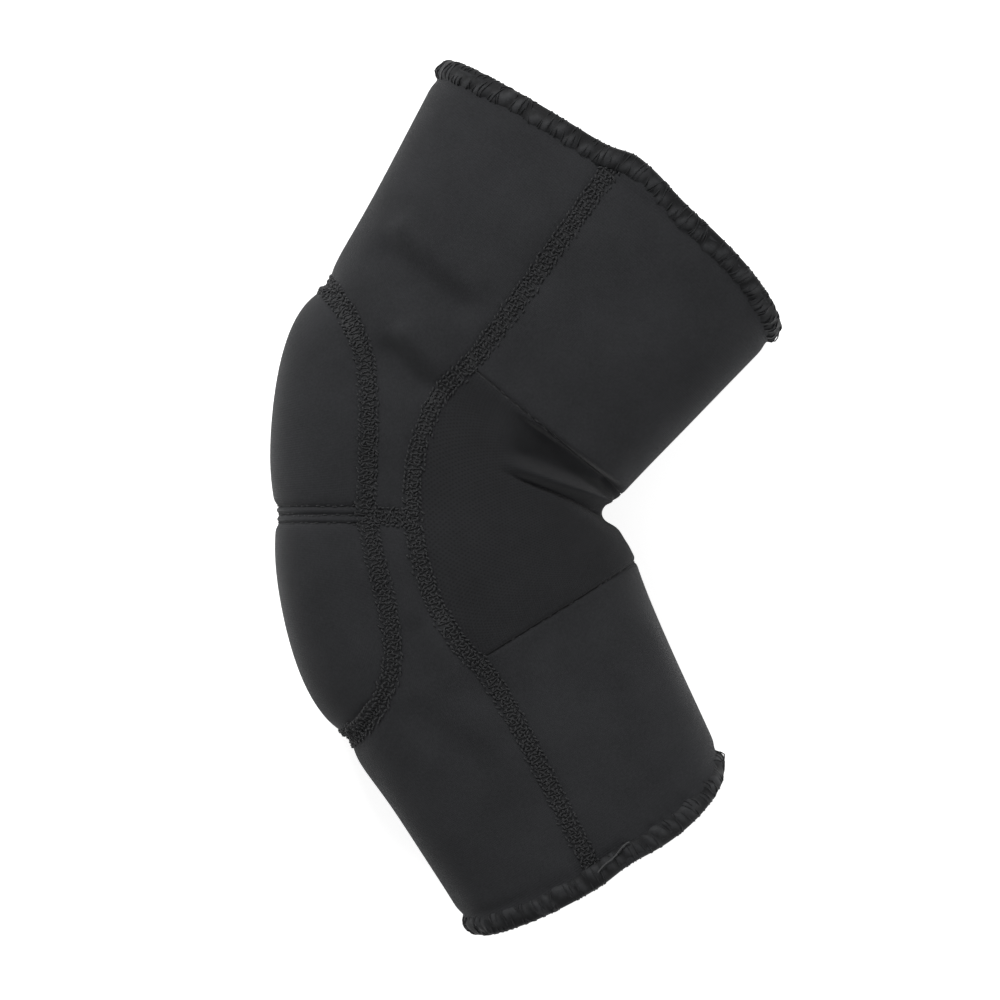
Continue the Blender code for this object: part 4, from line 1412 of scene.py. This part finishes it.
def flat_seam(name, path):
    """A flat seam: a sunk bed under rows of stitches, outside and inside."""
    own = sizes()
    cord = material("black_thread")
    # The seam bed's colour holds painted shade between the stitches
    bed = material("seam_bed_with_shade")
    line = SeamLine(path)
    half = own.seam_width / 2
    outside = [(share * half, SEAM_BED) for share in np.linspace(-1, 1, BED_COLUMNS)]
    inside = [(share * half, INNER_FACE) for share in np.linspace(-1, 1, LINING_COLUMNS)]
    rows = np.linspace(-half * ROW_SPREAD, half * ROW_SPREAD, own.needle_rows)
    stitches = stitch_rows(
        line, rows, own.stitch_length, STITCH_LEVEL, own.thread_width, STITCH_SLANT, SEAM_CLIMB)
    long_stitch = own.stitch_length * LONG_STITCH
    loops = cover_thread(line, half * LOOP_SPREAD, long_stitch, SEAM_BED + own.thread_width * LOOP_RISE)
    within = inner_rows(line, (-half * INNER_SPREAD, half * INNER_SPREAD), long_stitch, own.thread_width)
    name = name + "_stitching"
    parts = [ribbon(name, path, outside, bed, SEAM_CLIMB),
             ribbon(name, path, inside, cord, 0.0),
             thread(name, stitches, own.thread_width, cord),
             thread(name, loops, own.thread_width * LOOP_THREAD, cord),
             thread(name, within, own.thread_width, cord)]
    return joined(name, parts)


class SLEEVE_OT_flat_seams(bpy.types.Operator):
    """Sew the flat seams down the sides, round the pad and beside it"""

    bl_idname = "sleeve.flat_seams"
    bl_label = "Flat Seams"

    def execute(self, context):
        for half, side in (("upper", -1), ("lower", 1)):
            for where, far in (("near_", False), ("far_", True)):
                name = where + half + "_side_seam"
                fasten(flat_seam(name, side_seam_path(far, side)), "thread", name)
            name = half + "_pad_edge_seam"
            fasten(flat_seam(name, pad_edge_path(side)), "thread", name)
        for name, sign in (("near_mid_seam", 1), ("far_mid_seam", -1)):
            fasten(flat_seam(name, mid_path(sign)), "thread", name)
        return {"FINISHED"}


class SLEEVE_OT_pad_seam(bpy.types.Operator):
    """Sew the seam across the pad: two ridges between three grooves"""

    bl_idname = "sleeve.pad_seam"
    bl_label = "Pad Seam"

    def execute(self, context):
        own = sizes()
        cord = material("black_thread")
        half = own.pad_seam_width / 2
        around = np.linspace(PAD_HALF_ANGLE, -PAD_HALF_ANGLE, ARCH_SAMPLES)
        path = np.stack([np.zeros_like(around), around], axis=1)
        profile = [(share * half, -height) for share, height in PAD_SEAM_FORM]
        fine = own.thread_width * FINE_THREAD
        grooves = stitch_rows(SeamLine(path), (-half, 0.0, half), own.stitch_length, PAD_STITCH_LEVEL, fine)
        name = "pad_mid_seam_stitching"
        parts = [ribbon(name, path, profile, material("jersey_neoprene"), PAD_RISE),
                 thread(name, grooves, fine, cord)]
        fasten(joined(name, parts), "thread", "pad_mid_seam")
        return {"FINISHED"}


class SLEEVE_OT_pit_seams(bpy.types.Operator):
    """Sew the blind seams of the stretch panel, which show as fine grooves"""

    bl_idname = "sleeve.pit_seams"
    bl_label = "Pit Seams"

    def execute(self, context):
        own = sizes()
        cord = material("black_thread")
        for half, side in (("upper", -1), ("lower", 1)):
            name = half + "_pit_seam"
            path = pit_path(side)
            reach = np.linspace(-PIT_ALLOWANCE, PIT_ALLOWANCE, LINING_COLUMNS)
            allowance = [(offset, INNER_FACE) for offset in reach]
            bed = -own.pit_draw - PIT_BED_SINK
            groove = [(offset, bed) for offset in np.linspace(-PIT_BED, PIT_BED, PIT_BED_COLUMNS)]
            fine = own.thread_width * TACK_THREAD
            tacks = stitch_rows(SeamLine(path), (0.0,), TACK_LENGTH, -own.pit_draw - TACK_SINK, fine)
            sewn = name + "_stitching"
            parts = [ribbon(sewn, path, allowance, cord, 0.0),
                     # The groove's bed is darkened with painted shade
                     ribbon(sewn, path, groove, material("seam_bed_with_shade"), 0.0),
                     thread(sewn, tacks, fine, cord)]
            fasten(joined(sewn, parts), "thread", name)
        return {"FINISHED"}


def hem_profile():
    """Rolled section of a hem: offset from the raw edge and height, from outside round to inside."""
    thick = PANEL_THICKNESS
    rise = thick / 2 + HEM_ROLL_PROUD
    turn = np.linspace(math.pi / 2, -math.pi / 2, HEM_ROLL_POINTS)
    roll = [(-HEM_ROLL * math.cos(angle), -thick / 2 + rise * math.sin(angle)) for angle in turn]
    outside = [(HEM_WIDTH * share, height) for share, height in HEM_FACE]
    inside = [(offset, -thick - height) for offset, height in reversed(outside)]
    return np.array(outside + roll + inside)


def lump_row(run, offsets, length, pitch, chance):
    """A closed row of uneven lumps at each run and offset from a hem's raw edge, each about 1 high."""
    count = round(length / pitch)
    centres = (np.arange(count) + 0.5 + chance.normal(0, LUMP_DRIFT, count)) * length / count
    across = HEM_WIDTH * chance.uniform(*LUMP_ACROSS, count)
    tall = np.clip(chance.normal(1, LUMP_UNEVEN, count), *LUMP_HEIGHTS)
    reach = pitch * chance.uniform(*LUMP_REACH, count)
    height = np.zeros(np.broadcast(run, offsets).shape)
    for centre, middle, top, half in zip(centres, across, tall, reach):
        away = run - centre + LUMP_LEAN * (offsets - middle)
        away = (away + length / 2) % length - length / 2
        share = (away / half)**2 + ((offsets - middle) / (LUMP_HALF_WIDTH * HEM_WIDTH))**2
        height = np.maximum(height, top * np.exp(-share**LUMP_BLUNTNESS))
    return height


def hem_lumps(run, offsets, length, side):
    """A hem's lumps, large and small, at each run and offset from its raw edge, about 1 high."""
    chance = np.random.default_rng(SEED)
    pitch = sizes().lump_spacing * LUMP_SHARES[side]
    large = lump_row(run, offsets, length, pitch, chance)
    small = lump_row(run, offsets, length, SMALL_LUMP_PITCH * pitch, chance)
    return large + SMALL_LUMP_HEIGHT * small


def past_seam(places, side):
    """Distance round the cuff from the near side seam, positive towards the crook."""
    _, by_around = slopes(places[..., 0], places[..., 1])
    turned = places[..., 1] % (2 * math.pi)
    return (turned - side_angle(2.0 * side)) * length_of(by_around)


def hem_hump(places, side):
    """How far a hem swells where a side seam runs under it."""
    near, far = (np.exp(-(past_seam(at, side) / HUMP_HALF_WIDTH)**2) for at in (places, places * (1, -1)))
    return HUMP_HEIGHT * (near + far)


def hem_stray(places, side):
    """How far a hem strays outwards along the sleeve beside the near side seam."""
    away = past_seam(places, side)
    stray = np.zeros_like(away)
    for centre, half_width, height in HEM_STRAYS[side]:
        stray = stray + height * np.exp(-((away - centre) / half_width)**2)
    return stray


def hem_places(line, stops, side):
    """Places and heights of a hem's section at each run, with its lumps and humps, and the lumps alone."""
    section = hem_profile()
    spots = np.linspace(0, len(section) - 1, stops.shape[-1])
    offsets = np.interp(spots, np.arange(len(section)), section[:, 0])
    heights = np.interp(spots, np.arange(len(section)), section[:, 1])
    middle = -PANEL_THICKNESS / 2
    places, left = line.at(stops % line.length)
    lumps = hem_lumps(stops, offsets, line.length, side)
    rise = sizes().lump_height * (lumps - LUMP_LEVEL) + hem_hump(places, side)
    rise = rise * np.clip(np.abs(heights - middle) / -middle, RIM_SWELL, 1)
    raw_share, raw_reach = RAW_EDGE_SWELL
    foot_share, foot_reach = FOOT_SWELL
    edge = raw_share * np.exp(-(offsets / raw_reach)**2)
    edge = edge - foot_share * np.exp(-((offsets - HEM_WIDTH) / foot_reach)**2)
    shift = offsets - edge * rise - hem_stray(places, side)
    places = places + (side * shift)[..., None] * left
    return places, heights + np.sign(heights - middle) * rise * (offsets < HEM_WIDTH), lumps


def hem_wraps(line, side):
    """The uneven wraps of fine thread round a hem, which dive in and out of its roll."""
    own = sizes()
    chance = np.random.default_rng(SEED)
    count = int(line.length / own.wrap_spacing)
    share = np.linspace(0, 1, WRAP_POINTS)
    lean = own.wrap_slant * np.interp(share, (0, 0.5, 1), WRAP_LEAN_FORM)
    start = (np.arange(count) + chance.normal(0, WRAP_DRIFT, count)) * line.length / count
    stops = start[:, None] + lean * chance.normal(*WRAP_LEAN, (count, 1))
    places, heights, _ = hem_places(line, stops, side)
    dive = np.sin(2 * math.pi * (WRAP_DIVES * share + chance.uniform(0, 1, (count, 1))))
    face = np.clip(np.abs(share - 0.5) / WRAP_EDGE, 0, 1)
    depth = own.thread_width * (WRAP_DIVE * dive * face - WRAP_SINK)
    proud = np.sign(heights + PANEL_THICKNESS / 2) * depth
    return list(cloth(places[..., 0], places[..., 1], heights + proud))


def loose_end(line, side):
    """The loose end of thread that lies along a hem beyond the near side seam."""
    seam = float(np.interp(side_angle(2.0 * side), line.path[:, 1], line.run))
    stops = seam + np.linspace(*LOOSE_END, LOOSE_POINTS)
    places, left = line.at(stops)
    waver = LOOSE_WAVER * np.sin(np.linspace(0, LOOSE_WAVER_TURN, LOOSE_POINTS))
    offsets = HEM_WIDTH * (np.linspace(*LOOSE_ACROSS, LOOSE_POINTS) + waver)
    rise = sizes().lump_height * (hem_lumps(stops, offsets, line.length, side) - LUMP_LEVEL)
    rise = rise + hem_hump(places, side)
    window = 2 * LOOSE_SMOOTHING + 1
    padded = np.pad(rise, LOOSE_SMOOTHING, mode="edge")
    rise = np.convolve(padded, np.full(window, 1 / window), mode="valid")
    places = places + (side * (offsets - hem_stray(places, side)))[:, None] * left
    return [cloth(places[:, 0], places[:, 1], HEM_FACE[3][1] + LOOSE_PROUD + rise)]


def rest_on_floor(piece):
    """Presses the lowest threads flat where the sleeve rests."""
    points = points_of(piece)
    points[:, 2] = np.maximum(points[:, 2], 0.0)
    move_points(piece, points)


class SLEEVE_OT_hems(bpy.types.Operator):
    """Overlock the two cuffs"""

    bl_idname = "sleeve.hems"
    bl_label = "Hems"

    def execute(self, context):
        fine = sizes().thread_width * FINE_THREAD
        cord = material("hem_thread")
        for name, side, body in (("top_hem", -1, UPPER), ("bottom_hem", 1, LOWER)):
            around = np.linspace(0, 2 * math.pi, ARCH_SAMPLES)
            path = np.stack([hem_line(around, side), around], axis=1)
            line = SeamLine(path)
            line.left[0] = line.left[-1] = (line.left[0] + line.left[-1]) / 2
            stops = np.linspace(0, line.length, HEM_STEPS + 1)[:, None] + np.zeros(HEM_ROUND)
            grid, lift, lumps = hem_places(line, stops, side)
            grid[-1, :, 1] += 2 * math.pi
            sewn = name + "_stitching"
            roll = lay_grid(sewn, grid, lift)
            # Painted shade mask: 0 in the slots between lumps, where the roll's colour is darkened, 1 on
            # their tops
            lump = roll.data.attributes.new(SLOT_SHADE_ATTRIBUTE, "FLOAT", "POINT")
            lump.data.foreach_set("value", np.clip((lumps - SLOT_LEVEL) / SLOT_RANGE, 0, 1).ravel())
            merge(roll)
            roll.data.materials.append(material("hem_roll_slot_shade"))
            thicken(roll, HEM_WALL)
            parts = [roll, thread(sewn, hem_wraps(line, side), fine, cord)]
            if side > 0:
                parts.append(thread(sewn, loose_end(line, side), fine, material("loose_thread")))
            piece = joined(sewn, parts)
            rest_on_floor(piece)
            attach(piece, body)
            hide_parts(name)
        return {"FINISHED"}


def studio_world():
    """Plain white surroundings, which light the sleeve more softly than they show."""
    world = bpy.data.worlds.new("studio")
    world.use_nodes = True
    tree = world.node_tree
    backdrop = tree.nodes["Background"]
    backdrop.inputs["Color"].default_value = (1.0, 1.0, 1.0, 1.0)
    rays = tree.nodes.new("ShaderNodeLightPath")
    level = tree.nodes.new("ShaderNodeMapRange")
    level.inputs["To Min"].default_value = WORLD_STRENGTH
    level.inputs["To Max"].default_value = 1.0
    tree.links.new(rays.outputs["Is Camera Ray"], level.inputs["Value"])
    tree.links.new(level.outputs["Result"], backdrop.inputs["Strength"])
    return world


def floor_material():
    """White floor that shows white to the camera and still takes a shadow."""
    floor = bpy.data.materials.new("white_floor")
    floor.use_nodes = True
    tree = floor.node_tree
    shader = tree.nodes["Principled BSDF"]
    shader.inputs["Base Color"].default_value = (0.9, 0.9, 0.9, 1.0)
    shader.inputs["Roughness"].default_value = 0.9
    shader.inputs["Specular IOR Level"].default_value = 0.1
    path = tree.nodes.new("ShaderNodeLightPath")
    glow = tree.nodes.new("ShaderNodeEmission")
    glow.inputs["Color"].default_value = (1.0, 1.0, 1.0, 1.0)
    seen = value_node(tree, "MAXIMUM", path.outputs["Is Camera Ray"], path.outputs["Is Glossy Ray"])
    seen = value_node(tree, "MAXIMUM", seen, path.outputs["Is Transmission Ray"])
    tree.links.new(value_node(tree, "MULTIPLY", seen, FLOOR_GLOW), glow.inputs["Strength"])
    both = tree.nodes.new("ShaderNodeAddShader")
    tree.links.new(shader.outputs["BSDF"], both.inputs[0])
    tree.links.new(glow.outputs["Emission"], both.inputs[1])
    tree.links.new(both.outputs["Shader"], tree.nodes["Material Output"].inputs["Surface"])
    return floor


class SLEEVE_OT_stage(bpy.types.Operator):
    """Set the floor, the lights and the camera"""

    bl_idname = "sleeve.stage"
    bl_label = "Stage"

    def execute(self, context):
        pick()
        bpy.ops.mesh.primitive_plane_add(size=FLOOR_SIZE, location=(0, 0, 0))
        floor = bpy.context.object
        floor.name = "floor"
        floor.data.materials.append(floor_material())
        for name, place, size, power in LAMPS:
            bpy.ops.object.light_add(type="AREA", location=place)
            lamp = bpy.context.object
            lamp.name = name
            lamp.data.size = size
            lamp.data.energy = power
            lamp.rotation_euler = Vector(place).to_track_quat("Z", "Y").to_euler()
        context.scene.world = studio_world()
        bpy.ops.object.camera_add(location=(*CAMERA_PLAN, HINGE[2] + CAMERA_DISTANCE), rotation=(0, 0, 0))
        camera = bpy.context.object
        camera.name = "camera"
        camera.data.sensor_width = SENSOR
        camera.data.lens = SENSOR * CAMERA_DISTANCE / FRAME_WIDTH
        context.scene.camera = camera
        context.scene.view_settings.view_transform = "Standard"
        return {"FINISHED"}


STEPS = (SLEEVE_OT_outer_panels, SLEEVE_OT_inner_panels, SLEEVE_OT_pit_panel, SLEEVE_OT_pad,
         SLEEVE_OT_flat_seams, SLEEVE_OT_pad_seam, SLEEVE_OT_pit_seams, SLEEVE_OT_hems, SLEEVE_OT_stage)


class SLEEVE_PT_panel(bpy.types.Panel):
    """Lists the steps in the sidebar"""

    bl_idname = "SLEEVE_PT_panel"
    bl_label = "Elbow Sleeve"
    bl_space_type = "VIEW_3D"
    bl_region_type = "UI"
    bl_category = "Sleeve"

    def draw(self, context):
        for step in STEPS:
            self.layout.operator(step.bl_idname)


CLASSES = (SleeveSizes, SleeveFinish, *STEPS, SLEEVE_PT_panel)


def register():
    """Adds the steps, the panel and the sizes to Blender."""
    for each in CLASSES:
        bpy.utils.register_class(each)
    bpy.types.Scene.sleeve_sizes = bpy.props.PointerProperty(type=SleeveSizes)
    bpy.types.Scene.sleeve_finish = bpy.props.PointerProperty(type=SleeveFinish)


def unregister():
    """Takes them out again."""
    del bpy.types.Scene.sleeve_finish
    del bpy.types.Scene.sleeve_sizes
    for each in reversed(CLASSES):
        bpy.utils.unregister_class(each)


def main():
    """Builds the sleeve and its stage in order."""
    register()
    bpy.ops.sleeve.outer_panels()
    bpy.ops.sleeve.inner_panels()
    bpy.ops.sleeve.pit_panel()
    bpy.ops.sleeve.pad()
    bpy.ops.sleeve.flat_seams()
    bpy.ops.sleeve.pad_seam()
    bpy.ops.sleeve.pit_seams()
    bpy.ops.sleeve.hems()
    bpy.ops.sleeve.stage()


if __name__ == "__main__":
    main()
